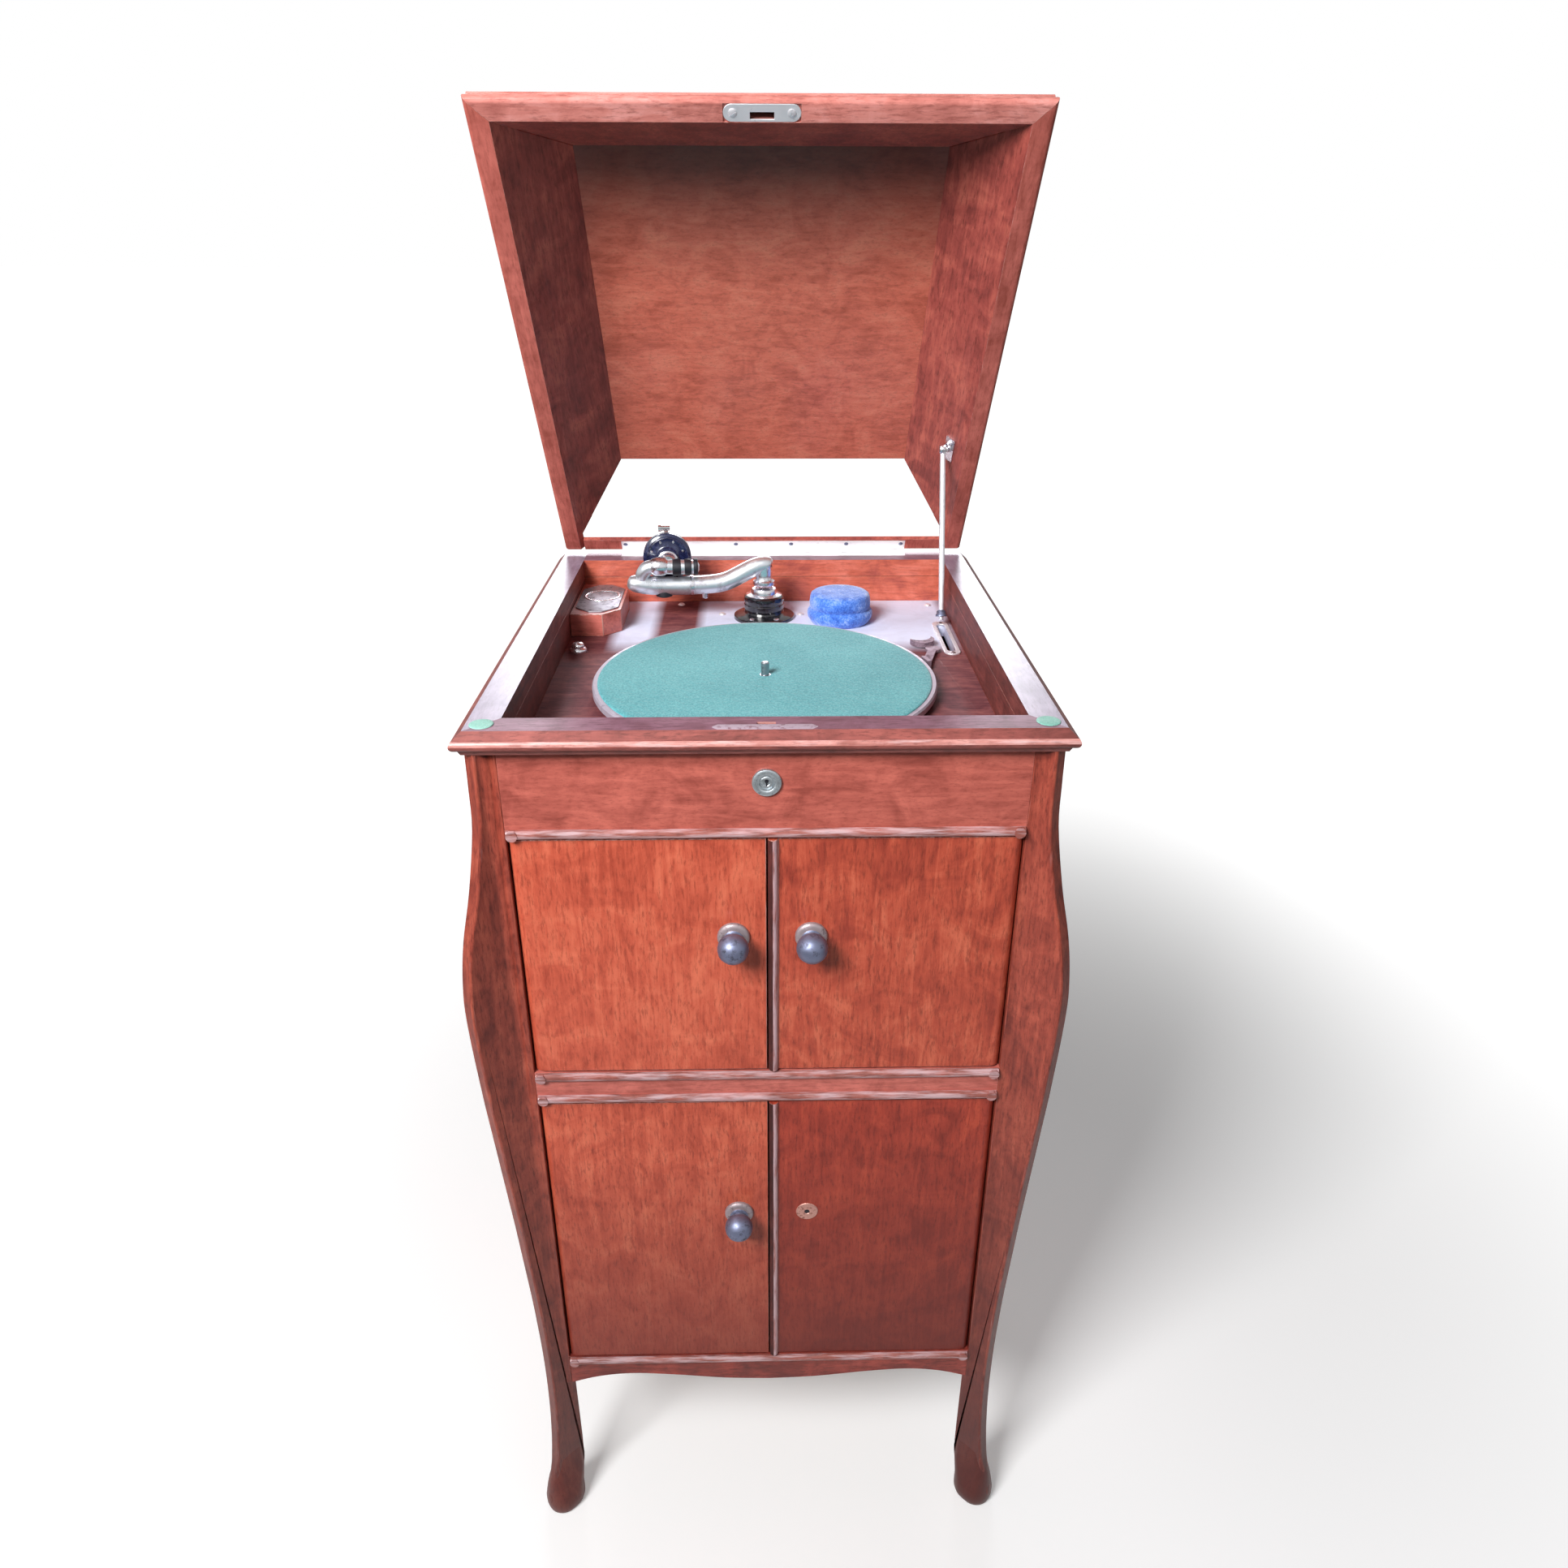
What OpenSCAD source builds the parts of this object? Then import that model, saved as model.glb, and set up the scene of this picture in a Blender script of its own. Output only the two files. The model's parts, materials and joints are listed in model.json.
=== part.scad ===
// Floor-standing gramophone cabinet with a hipped lid, four bowed corner posts,
// a wound turntable motor, an inner horn behind the upper doors and record racks behind the lower ones.
// Origin: the floor, at the middle of the cabinet. +X is to the viewer's right, +Y to the back, +Z up.
// Drawn as photographed: lid open on its stay, doors shut, soundbox thrown back over the arm.

/* [Carcass] */
// Width over the side panels
body_w = 426; // [416:1:440]
// Depth from the door faces to the back of the carcass
body_d = 472; // [464:1:500]
// Height of the rim's flat top face above the floor
rim_z = 895; // [885:1:930]
// Thickness of the side panels, the rails and the back
panel_t = 18; // [16:0.5:19]
// Width of the square corner stile beside each door
stile_w = 15; // [13:0.5:17]
// Thickness of the shelf and the bottom board
shelf_t = 12; // [9:0.5:14]

/* [Front] */
// Height of the upper doors' bottom edge
upper_door_z = 578; // [570:1:590]
// Height of the upper doors' top edge
upper_door_top = 802; // [795:1:808]
// Height of the lower doors' bottom edge
lower_door_z = 219; // [212:1:230]
// Height of the lower doors' top edge
lower_door_top = 542; // [532:1:548]
// Thickness of the doors
door_t = 16; // [13:0.5:17]
// Gap round each door
door_gap = 1; // [0.6:0.1:1.6]
// Radius of the half-round beads along the rails
bead_r = 4; // [3:0.25:4.5]
// Radius of the pins that the doors turn on
pivot_r = 2.5; // [2:0.1:3]
// Radius of a door knob's ball
knob_r = 12.5; // [10:0.5:14]

/* [Corner posts] */
// Thickness of the bowed fin
fin_t = 13; // [11:0.5:15]
// How far the bow stands out from the carcass corner at its fullest
bow_out = 35; // [28:0.5:38]
// How far the ankle stands out at its narrowest
ankle_out = 8.5; // [7:0.5:11]
// How far the foot stands out
foot_out = 31; // [25:0.5:34]

/* [Rim] */
// Thickness of the rim moulding
rim_t = 18; // [16:0.5:20]
// Width of the rim's flat top face
rim_flat = 24; // [22:0.5:25]
// Radius of the bead along the rim's edge
rim_bead_r = 4.5; // [4:0.25:5]
// Thickness of the felt pads under the lid
pad_t = 1; // [0.6:0.1:1.1]

/* [Lid] */
// Angle at which the stay holds the lid open
lid_open = 55.4; // [50:0.2:60]
// Width of the lid's flat lower edge
lid_wall = 17; // [15:0.5:18]
// Inner height from the lower edge to the top panel
lid_h = 54; // [46:1:64]
// How far the side and front boards lean in over that height
lid_inset = 50.5; // [44:0.5:56]
// How far the open back leans in over that height
back_inset = 66.5; // [58:0.5:72]
// Thickness of the leaning boards
lid_board_t = 12; // [9:0.5:13]
// Thickness of the top panel
lid_panel_t = 10; // [8:0.5:13]
// Height of the moulded lower edge
lid_edge_h = 17; // [15:0.5:19]

/* [Turntable] */
// Height of the motor board's top face below the rim
board_drop = 46; // [42:1:52]
// Thickness of the motor board
board_t = 12; // [10:0.5:14]
// Radius of the platter, for twelve inch records
platter_r = 152.5; // [140:0.5:156]
// Distance of the platter's centre in front of the cabinet's middle
platter_y = -45; // [-50:1:-42]
// Radius of the spindle pin that centres a record
pin_r = 3.6; // [3.5:0.05:3.62]
// Height of that pin above the felt
pin_h = 12; // [9:0.5:14]

/* [Tonearm] */
// Distance of the tonearm's base in front of the well's back wall
arm_back = 56; // [50:1:60]
// Radius of the black base's flange
base_r = 32; // [29:0.5:34]
// Radius of the arm tube
arm_r = 9; // [7.5:0.25:9.5]
// Radius of the soundbox
box_r = 25; // [22:0.5:26]
// Thickness of the soundbox
box_t = 13; // [10:0.5:14]

/* [Motor] */
// Tooth module of the motor's gears
gear_m = 1; // [0.9:0.05:1.05]
// Teeth of the spring barrel
barrel_teeth = 72; // [66:2:76]
// Teeth of the spindle pinion
pinion_teeth = 12; // [12:1:13]
// Radius of the worm wheel on the spindle
wheel_r = 27; // [22:0.5:28]
// Radius of the winding shaft
shaft_r = 6; // [5.5:0.25:7]
// Radius of the socket that takes the crank
socket_r = 3.5; // [3:0.25:4]

/* [Hidden] */
$fn = 48;

// Clearances
touch = 0.02;          // two still pieces that lie face to face
run = 0.05;            // radial gap of a pin that turns
free = 0.3;            // pieces that pass each other
over = 1;              // how far a cut runs past what it cuts

// Carcass
half_w = body_w / 2;
half_d = body_d / 2;
well_x = half_w - panel_t;
well_y = half_d - panel_t;
door_x = half_w - stile_w;
rim_under = rim_z - rim_t;
shelf_z = upper_door_z - 14 - shelf_t;
base_z = lower_door_z - shelf_t;
side_low = 178;        // lower edge of the side and back panels
stile_low = 178;       // where the square stile ends and the leg goes on alone
fin_in = 10;           // how far the fin runs into the stile
leg_in = 17.5;         // how far the leg reaches in below the stile

// The post's outline: distance out from the carcass corner, height above the floor
post_stations = [
    [5.4, rim_under], [6, 845], [7.6, 811], [17, 762], [28, 720], [bow_out - 1.2, 682], [bow_out, 645],
    [30.5, 560], [24, 478], [17, 383], [11, 285], [ankle_out, 205], [ankle_out + 1.2, 135],
    [ankle_out + 6, 76], [foot_out - 9, 43], [foot_out - 1, 20], [foot_out + 0.5, 8], [foot_out - 2, 0]
];
shoulder = 14;         // how far the leg reaches in where it enters the stile
leg_stations = [[-leg_in, stile_low - 9], [-leg_in, 60], [-leg_in + 4, 28], [-6, 0]];

// Rim
rim_w = rim_flat + 4 + rim_bead_r;
rim_front_y = -well_y - rim_w;
rim_x = well_x + rim_w;
rim_back_y = well_y + 30.5;

// Lid, in its closed place: s runs forward from its back edge, h up from its lower face
lid_gap = 1.2;
lid_z = rim_z + lid_gap;
lid_x = well_x + rim_flat;
lid_in_x = lid_x - lid_wall;
lid_front_y = -well_y - rim_flat;
lid_len = rim_back_y - lid_front_y;
lid_in_s = lid_len - lid_wall;
lean = lid_inset / lid_h;
back_lean = back_inset / lid_h;
back_rail_w = 14.7;
back_rail_h = 5;
board_wide = lid_board_t / sin(atan2(lid_h, lid_inset));   // the leaning board, cut level

// Lid hinge
leaf_t = 1.2;
leaf_w = 13;
leaf_len = 313;
knuckle_r = 3;
knuckles = 9;
hinge_pin_r = 1.2;
hinge_y = rim_back_y + knuckle_r + 0.4;
hinge_z = (rim_z + lid_z) / 2;

// Lid stay
stay_s = 136;
stay_h = 12.4;
stay_x = lid_in_x - 19.7;
stay_len = 176;
stay_lean = 20;        // the rod's lean from upright while the lid stands open
stay_r = 2.6;
stay_pin_r = 2.2;
slot_w = 8.4;
slot_y = [rim_back_y - 200.5, rim_back_y - 118.5];
plate_y = [slot_y[0] - 9, slot_y[1] + 9];

// Turntable and motor board
board_z = rim_z - board_drop;
board_low = board_z - board_t;
platter_low = board_z + 4.5;
platter_top = board_z + 12;
felt_t = 1.5;
felt_top = platter_top + felt_t;
spindle_r = 5;

// Motor, between two plates under the board
plate_t = 3;
upper_plate_z = board_low - 28;
lower_plate_z = upper_plate_z - 42;
motor_x = [-86, 48];
motor_y = [platter_y - 54, platter_y + 66];
barrel_x = -gear_m * (barrel_teeth + pinion_teeth) / 2;
shaft_z = lower_plate_z + 22;
winder_y = platter_y + 46;
worm_r = 4.5;
governor_x = wheel_r + worm_r + 0.4;
governor_z = upper_plate_z + plate_t + 12.5;
governor_y = [motor_y[0] + 8, motor_y[1] - 30];

// Tonearm: the base stands on the board, the arm runs to the left
arm_y = well_y - arm_back;
arm_dir = 186;         // heading of the parked arm, in degrees from +X
cup_top = board_z + 33;
cup_r = 21;
neck_r = 7;
neck_bore = neck_r + run;
arm_high = rim_z + 12; // height of the bend over the base
arm_low = rim_z - 9;   // height of the level stretch
flip_at = 137;         // distance of the flip pivot from the base
flip_z = rim_z - 1;
box_at = 99;           // where the thrown-back soundbox's centre is
box_z = rim_z + 17;
box_off = arm_r + 2;   // from the arm's middle to the soundbox's near face
crook_off = arm_r + 7; // from the arm's middle to the crook's, on the other side

// Lock
lock_z = rim_z - 45;
lock_y = -half_d + 6;
bolt_t = 3;
bolt_w = 12;
plug_r = 5.5;

// Horn
mouth_x = well_x - 9;
throat_x = 60;
horn_back_y = 120;
horn_front_y = -well_y + 2;
horn_t = 8;
roof_front_z = upper_door_top + 1;
roof_back_z = 638;
throat_r = 24;

wood = "#8a4531";
dark_wood = "#6b3427";
nickel = "#b9bcc2";
black = "#1b1b22";
felt = "#3f8a80";
steel = "#8d9096";
brass = "#b08d57";

// ---- helpers -------------------------------------------------------------------------------

function spline(p, n) = concat([for (i = [0 : len(p) - 2], k = [0 : n - 1])
    let (t = k / n, a = p[max(i - 1, 0)], b = p[i], c = p[i + 1], d = p[min(i + 2, len(p) - 1)])
    0.5 * (2 * b + (c - a) * t + (2 * a - 5 * b + 4 * c - d) * t * t + (3 * b - a - 3 * c + d) * t * t * t)],
    [p[len(p) - 1]]);

module block(x, y, z) {
    translate([x[0], y[0], z[0]]) cube([x[1] - x[0], y[1] - y[0], z[1] - z[0]]);
}

module rod_x(x, y, z, r) {
    translate([x[0], y, z]) rotate([0, 90, 0]) cylinder(r = r, h = x[1] - x[0]);
}

module rod_y(x, y, z, r) {
    translate([x, y[0], z]) rotate([-90, 0, 0]) cylinder(r = r, h = y[1] - y[0]);
}

module rod_z(x, y, z, r) {
    translate([x, y, z[0]]) cylinder(r = r, h = z[1] - z[0]);
}

// A section drawn in (outward, up), run along X from x[0] to x[1], outward being -Y
module strip_x(x) {
    translate([x[0], 0, 0]) rotate([90, 0, 90]) mirror([1, 0, 0]) linear_extrude(x[1] - x[0]) children();
}

// The same section run along Y, outward being +X on the right-hand side
module strip_y(y) {
    translate([0, y[1], 0]) rotate([90, 0, 0]) linear_extrude(y[1] - y[0]) children();
}

// A gear with straight-sided teeth, one of them centred on +X
module gear_outline(teeth) {
    pitch = gear_m * teeth / 2;
    step = 360 / teeth;
    corners = [[-0.29, -1], [-0.09, 0.7], [0.09, 0.7], [0.29, -1]];
    polygon([for (i = [0 : teeth - 1], c = corners)
        let (a = step * (i + c[0]), r = pitch + gear_m * c[1]) [r * cos(a), r * sin(a)]]);
}

// ---- carcass -------------------------------------------------------------------------------

module fin_outline(inner) {
    outer = spline(post_stations, 4);
    polygon(concat(outer, inner));
}

module post(side_x, side_y) {
    heading = atan2(side_y, side_x);
    leg = spline([for (i = [len(leg_stations) - 1 : -1 : 0]) leg_stations[i]], 4);
    color(dark_wood) union() {
        translate([side_x * half_w, side_y * half_d, 0]) rotate([0, 0, heading]) rotate([90, 0, 0])
            linear_extrude(fin_t, center = true)
                fin_outline(concat(leg, [[-shoulder, stile_low - 1.5], [-shoulder, stile_low + 10],
                    [-fin_in, stile_low + 10], [-fin_in, rim_under]]));
        block(side_x > 0 ? [door_x, half_w] : [-half_w, -door_x],
            side_y > 0 ? [well_y, half_d] : [-half_d, -well_y], [stile_low, rim_under]);
    }
}

module post_front_left() {
    post(-1, -1);
}

module post_front_right() {
    post(1, -1);
}

module back_posts() {
    post(-1, 1);
    post(1, 1);
}

module side_panel_left() {
    color(wood) block([-half_w, -well_x], [-well_y + touch, well_y - touch], [side_low, rim_under]);
}

module side_panel_right() {
    color(wood) difference() {
        block([well_x, half_w], [-well_y + touch, well_y - touch], [side_low, rim_under]);
        rod_x([well_x - over, half_w + over], winder_y, shaft_z, shaft_r + 2.5);
    }
}

module back_panel() {
    color(wood) block([-door_x + touch, door_x - touch], [well_y, half_d], [side_low, rim_under]);
}

module rail(z) {
    block([-door_x + touch, door_x - touch], [-half_d, -well_y], z);
}

// Holes for the door pins, from z up or down
module pin_holes(z) {
    for (side = [-1, 1]) rod_z(side * pivot_x, pivot_y, z, pivot_r + touch);
}

pin_in_rail = 8;
pin_in_door = 10;
pivot_x = door_x - 0.5 - door_t / 2;
pivot_y = -half_d + door_t / 2;

module front_top_rail() {
    color(wood) difference() {
        rail([upper_door_top + door_gap, rim_under]);
        pin_holes([upper_door_top, upper_door_top + door_gap + pin_in_rail + touch]);
        block([-20.2, 20.2], [-half_d + 3.8, -half_d + 14.2], [lock_z - 17.2, rim_under + over]);
        rod_y(0, [-half_d - over, -half_d + 10], lock_z, plug_r + 2.6);
    }
}

module front_mid_rail() {
    color(wood) difference() {
        rail([lower_door_top + 2 * door_gap, upper_door_z - 2 * door_gap]);
        pin_holes([upper_door_z - 2 * door_gap - pin_in_rail - touch, upper_door_z]);
        pin_holes([lower_door_top, lower_door_top + 2 * door_gap + pin_in_rail + touch]);
    }
}

// The apron's lower edge: a shallow bracket curve, half of it, then mirrored
apron_stations = [[0, 180], [45, 182], [95, 188], [137, 191], [170, 187.5], [door_x - touch, 179]];

module front_apron() {
    half = spline(apron_stations, 5);
    other = [for (i = [len(half) - 1 : -1 : 1]) [-half[i][0], half[i][1]]];
    top_z = lower_door_z - 2 * door_gap;
    color(wood) difference() {
        translate([0, -well_y, 0]) rotate([90, 0, 0]) linear_extrude(panel_t)
            polygon(concat(other, half, [[door_x - touch, top_z], [-door_x + touch, top_z]]));
        pin_holes([top_z - pin_in_rail - touch, lower_door_z]);
    }
}

module front_beads() {
    top = upper_door_top + door_gap + bead_r;
    upper = upper_door_z - 2 * door_gap - bead_r;
    lower = lower_door_top + 2 * door_gap + bead_r;
    bottom = lower_door_z - 3 * door_gap - bead_r;
    boss = bead_r + 0.4;
    color(wood) for (z = [top, upper, lower, bottom]) intersection() {
        union() {
            rod_x([-door_x + 1, door_x - 1], -half_d, z, bead_r);
            for (side = [-1, 1]) rod_y(side * (door_x - 1 - boss), [-half_d - bead_r - 0.6, -half_d], z, boss);
        }
        block([-half_w, half_w], [-half_d - 2 * bead_r, -half_d - touch], [z - boss, z + bead_r]);
    }
}

module rim_section() {
    union() {
        polygon([[0, 0], [0, rim_t], [rim_flat, rim_t], [rim_flat + 6.6, rim_t - 5.8],
            [rim_flat + 4, 8.5], [rim_flat + 3.4, 3], [rim_flat + 2, 0]]);
        translate([rim_flat + 4, 8.5]) circle(r = rim_bead_r);
    }
}

module rim_side(side) {
    intersection() {
        mirror([side < 0 ? 1 : 0, 0, 0]) translate([well_x, 0, rim_under])
            strip_y([rim_front_y, rim_back_y]) rim_section();
        translate([0, 0, rim_under - over]) linear_extrude(rim_t + 2 * over)
            polygon([[side * well_x, -well_y + touch], [side * (rim_x + over), rim_front_y - over + touch],
                [side * (rim_x + over), rim_back_y], [side * well_x, rim_back_y]]);
    }
}

module top_moulding() {
    color(wood) {
        difference() {
            intersection() {
                translate([0, -well_y, rim_under]) strip_x([-rim_x, rim_x]) rim_section();
                translate([0, 0, rim_under - over]) linear_extrude(rim_t + 2 * over)
                    polygon([[-well_x, -well_y], [well_x, -well_y],
                        [rim_x + over, rim_front_y - over], [-rim_x - over, rim_front_y - over]]);
            }
            block([-bolt_w / 2 - 1, bolt_w / 2 + 1], [lock_y - bolt_t / 2 - 0.6, lock_y + bolt_t / 2 + 0.6],
                [rim_under - over, rim_z + over]);
        }
        rim_side(-1);
        rim_side(1);
        difference() {
            block([-well_x + touch, well_x - touch], [well_y, rim_back_y], [rim_under, rim_z]);
            block([-leaf_len / 2 - touch, leaf_len / 2 + touch], [rim_back_y - leaf_w - touch, rim_back_y + over],
                [rim_z - leaf_t, rim_z + over]);
        }
    }
}

module felt_pads() {
    color(felt) for (side = [-1, 1])
        rod_z(side * (well_x + 12), -well_y - 12, [rim_z, rim_z + pad_t], 9);
}

module bottom_board() {
    color(dark_wood) block([-well_x + touch, well_x - touch], [-well_y + touch, well_y - touch],
        [base_z, base_z + shelf_t]);
}

module horn_floor() {
    color(dark_wood) block([-well_x + touch, well_x - touch], [-well_y + touch, well_y - touch],
        [shelf_z, shelf_z + shelf_t]);
}

dividers = 4;
divider_t = 6;

module record_dividers() {
    pitch = 2 * well_x / (dividers + 1);
    color(dark_wood) for (i = [1 : dividers])
        block([-well_x + i * pitch - divider_t / 2, -well_x + i * pitch + divider_t / 2],
            [-well_y + 20, well_y - touch], [base_z + shelf_t + touch, shelf_z - touch]);
}

module board_bearers() {
    color(dark_wood) {
        block([-well_x + touch, well_x - touch], [-well_y + touch, -well_y + 12], [board_low - 12, board_low]);
        block([-well_x + touch, well_x - touch], [well_y - 12, well_y - touch], [board_low - 12, board_low]);
    }
}

module motor_board() {
    color(wood) difference() {
        block([-well_x + free, well_x - free], [-well_y + free, well_y - free], [board_low + touch, board_z]);
        rod_z(0, platter_y, [board_low - over, board_z + over], spindle_r + 3);
        rod_z(0, arm_y, [board_low - over, board_z + over], throat_r - 8);
        block([stay_x - slot_w / 2 - 0.6, stay_x + slot_w / 2 + 0.6], [slot_y[0] - 1, slot_y[1] + 1],
            [board_low - over, board_z + over]);
        rod_z(brake_x, brake_y, [board_z - 6, board_z + over], 2.5);
        rod_z(speed_x, speed_y, [board_low - over, board_z + over], 2.5 + run);
    }
}

// ---- horn ----------------------------------------------------------------------------------

function roof_at(y) = roof_front_z + (roof_back_z - roof_front_z) * (y - horn_front_y) / (horn_back_y - horn_front_y);
roof_slope = atan2(roof_front_z - roof_back_z, horn_back_y - horn_front_y);

module horn_plan(grow) {
    polygon([[-mouth_x - grow, horn_front_y], [mouth_x + grow, horn_front_y],
        [throat_x + grow, horn_back_y], [-throat_x - grow, horn_back_y]]);
}

// The space under the roof board's lower face
module under_roof() {
    rotate([90, 0, 90]) translate([0, 0, -half_w]) linear_extrude(body_w)
        polygon([[horn_front_y - 20, shelf_z], [horn_front_y - 20, roof_at(horn_front_y - 20)],
            [horn_back_y + 20, roof_at(horn_back_y + 20)], [horn_back_y + 20, shelf_z]]);
}

module horn_sides() {
    color(dark_wood) intersection() {
        translate([0, 0, shelf_z + shelf_t + touch]) linear_extrude(roof_front_z - shelf_z) difference() {
            horn_plan(horn_t);
            horn_plan(0);
        }
        under_roof();
    }
}

module horn_roof() {
    color(dark_wood) intersection() {
        translate([0, 0, roof_back_z - over]) linear_extrude(roof_front_z) horn_plan(horn_t);
        translate([0, 0, touch]) rotate([90, 0, 90]) translate([0, 0, -half_w]) linear_extrude(body_w)
            polygon([[horn_front_y, roof_front_z], [horn_back_y, roof_back_z],
                [horn_back_y, roof_back_z + horn_t], [horn_front_y, roof_front_z + horn_t]]);
    }
}

module horn_throat() {
    floor_z = shelf_z + shelf_t + touch;
    color(steel) difference() {
        union() {
            block([-throat_x - horn_t, throat_x + horn_t], [horn_back_y + touch, arm_y + throat_r],
                [floor_z, roof_back_z + horn_t]);
            rod_z(0, arm_y, [floor_z, board_low - touch], throat_r);
        }
        block([-throat_x, throat_x], [horn_back_y - over, arm_y + throat_r - 6], [floor_z + 6, roof_back_z]);
        rod_z(0, arm_y, [floor_z + 6, board_low + over], throat_r - 5);
    }
}

// ---- lock ----------------------------------------------------------------------------------

module lock_case() {
    color(brass) difference() {
        union() {
            block([-20, 20], [-half_d + 4, -half_d + 14], [lock_z - 17, rim_under - 2]);
            rod_y(0, [-half_d - 0.1, -half_d + 5], lock_z, plug_r + 2.4);
            rod_y(0, [-half_d - 2, -half_d - 0.1], lock_z, 11);
        }
        rod_y(0, [-half_d - 3, -half_d + 8], lock_z, plug_r + run);
        block([-bolt_w / 2 - free, bolt_w / 2 + free], [lock_y - bolt_t / 2 - free, lock_y + bolt_t / 2 + free],
            [lock_z - 15, rim_under + over]);
    }
}

module lock_plug() {
    color(brass) difference() {
        rod_y(0, [-half_d - 1.2, lock_y - bolt_t / 2 - 0.6], lock_z, plug_r);
        rod_y(0, [-half_d - 2, -half_d + 1], lock_z + 1.4, 1.4);
        block([-0.7, 0.7], [-half_d - 2, -half_d + 1], [lock_z - 3, lock_z + 1]);
    }
}

module lock_bolt() {
    color(brass) block([-bolt_w / 2, bolt_w / 2], [lock_y - bolt_t / 2, lock_y + bolt_t / 2],
        [lock_z - 14, rim_under + 2]);
}

// ---- lid -----------------------------------------------------------------------------------

module opened() {
    translate([0, hinge_y, hinge_z]) rotate([-lid_open, 0, 0]) translate([0, -hinge_y, -hinge_z]) children();
}

// The moulded lower edge: sloping inside, a bead and a step outside
module edge_section() {
    bead = 4;
    union() {
        polygon([[0, 0], [lid_wall - bead, 0], [lid_wall - bead, 2 * bead], [lid_wall - bead + 2, 2 * bead + 1],
            [lid_wall - bead + 2, 2 * bead + 4], [lid_wall - 8, lid_edge_h], [-lean * lid_edge_h, lid_edge_h]]);
        translate([lid_wall - bead, bead]) circle(r = bead);
    }
}

module slope_section() {
    polygon([[-lean * lid_edge_h, lid_edge_h + touch], [board_wide - lean * lid_edge_h, lid_edge_h + touch],
        [board_wide - lean * lid_h, lid_h - touch], [-lean * lid_h, lid_h - touch]]);
}

// One side of the lid, mitred at the front and cut back along the open back
module lid_side(side, low) {
    difference() {
        intersection() {
            mirror([side < 0 ? 1 : 0, 0, 0]) translate([lid_in_x, 0, lid_z])
                strip_y([lid_front_y, rim_back_y]) children();
            side_plan(side);
        }
        back_cut(low);
    }
}

module side_plan(side) {
    corner_y = lid_front_y + lid_wall;
    far = lid_wall + over;
    deep = lid_inset + over;
    translate([0, 0, lid_z - over]) linear_extrude(lid_h + 2 * over)
        polygon([[side * (lid_in_x + far), corner_y - far + touch], [side * (lid_in_x - deep), corner_y + deep + touch],
            [side * (lid_in_x - deep), rim_back_y], [side * (lid_in_x + far), rim_back_y]]);
}

module lid_front() {
    corner_y = lid_front_y + lid_wall;
    far = lid_wall + over;
    deep = lid_inset + over;
    intersection() {
        translate([0, corner_y, lid_z]) strip_x([-lid_x, lid_x]) children();
        translate([0, 0, lid_z - over]) linear_extrude(lid_h + 2 * over)
            polygon([[-lid_in_x - far, corner_y - far], [lid_in_x + far, corner_y - far],
                [lid_in_x - deep, corner_y + deep], [-lid_in_x + deep, corner_y + deep]]);
    }
}

module back_cut(low) {
    high = lid_h + lid_panel_t + 20;
    translate([0, rim_back_y, lid_z]) mirror([0, 1, 0]) rotate([90, 0, 90]) translate([0, 0, -half_w])
        linear_extrude(body_w) polygon([[-40, low], [back_rail_w + back_lean * low, low],
            [back_rail_w + back_lean * high, high], [-40, high]]);
}

module lid_frame() {
    color(wood) opened() {
        difference() {
            lid_front() edge_section();
            block([-29 - touch, 29 + touch], [strike_y - strike_r - 0.2, strike_y + strike_r + 0.2],
                [lid_z - over, lid_z + 1.2]);
            block([-9, 9], [lock_y - 3.6, lock_y + 3.6], [lid_z, lid_z + 14]);
        }
        lid_side(-1, back_rail_h) edge_section();
        lid_side(1, back_rail_h) edge_section();
        difference() {
            block([-lid_in_x + lean * back_rail_h + touch, lid_in_x - lean * back_rail_h - touch],
                [rim_back_y - back_rail_w, rim_back_y], [lid_z, lid_z + back_rail_h]);
            block([-leaf_len / 2 - touch, leaf_len / 2 + touch], [rim_back_y - leaf_w - touch, rim_back_y + over],
                [lid_z - over, lid_z + leaf_t]);
        }
    }
}

module lid_sloped_boards() {
    color(wood) opened() {
        lid_front() slope_section();
        lid_side(-1, back_rail_h) slope_section();
        lid_side(1, back_rail_h) slope_section();
    }
}

module lid_top_panel() {
    lap = 3;
    top_x = lid_in_x - lid_inset + board_wide + lap;
    top_front = lid_front_y + lid_wall + lid_inset - board_wide - lap;
    color(wood) opened() difference() {
        block([-top_x, top_x], [top_front, rim_back_y], [lid_z + lid_h, lid_z + lid_h + lid_panel_t]);
        back_cut(back_rail_h);
    }
}

strike_r = 6.6;
strike_y = lid_front_y + lid_wall - strike_r - 0.5;

module strike_plate() {
    color(nickel) opened() difference() {
        union() {
            block([strike_r - 29, 29 - strike_r], [strike_y - strike_r, strike_y + strike_r],
                [lid_z + touch, lid_z + 1.2 - touch]);
            for (side = [-1, 1])
                rod_z(side * (29 - strike_r), strike_y, [lid_z + touch, lid_z + 1.2 - touch], strike_r);
        }
        block([-9, 9], [lock_y - 2.6, lock_y + 2.6], [lid_z - over, lid_z + 2]);
    }
}

// Every second knuckle, from the given first one
module knuckle_row(first, plate_z) {
    pitch = leaf_len / knuckles;
    for (i = [first : 2 : knuckles - 1]) {
        x = [-leaf_len / 2 + i * pitch + 0.15, -leaf_len / 2 + (i + 1) * pitch - 0.15];
        rod_x(x, hinge_y, hinge_z, knuckle_r);
        block(x, [rim_back_y - 2, hinge_y], plate_z);
    }
}

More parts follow.
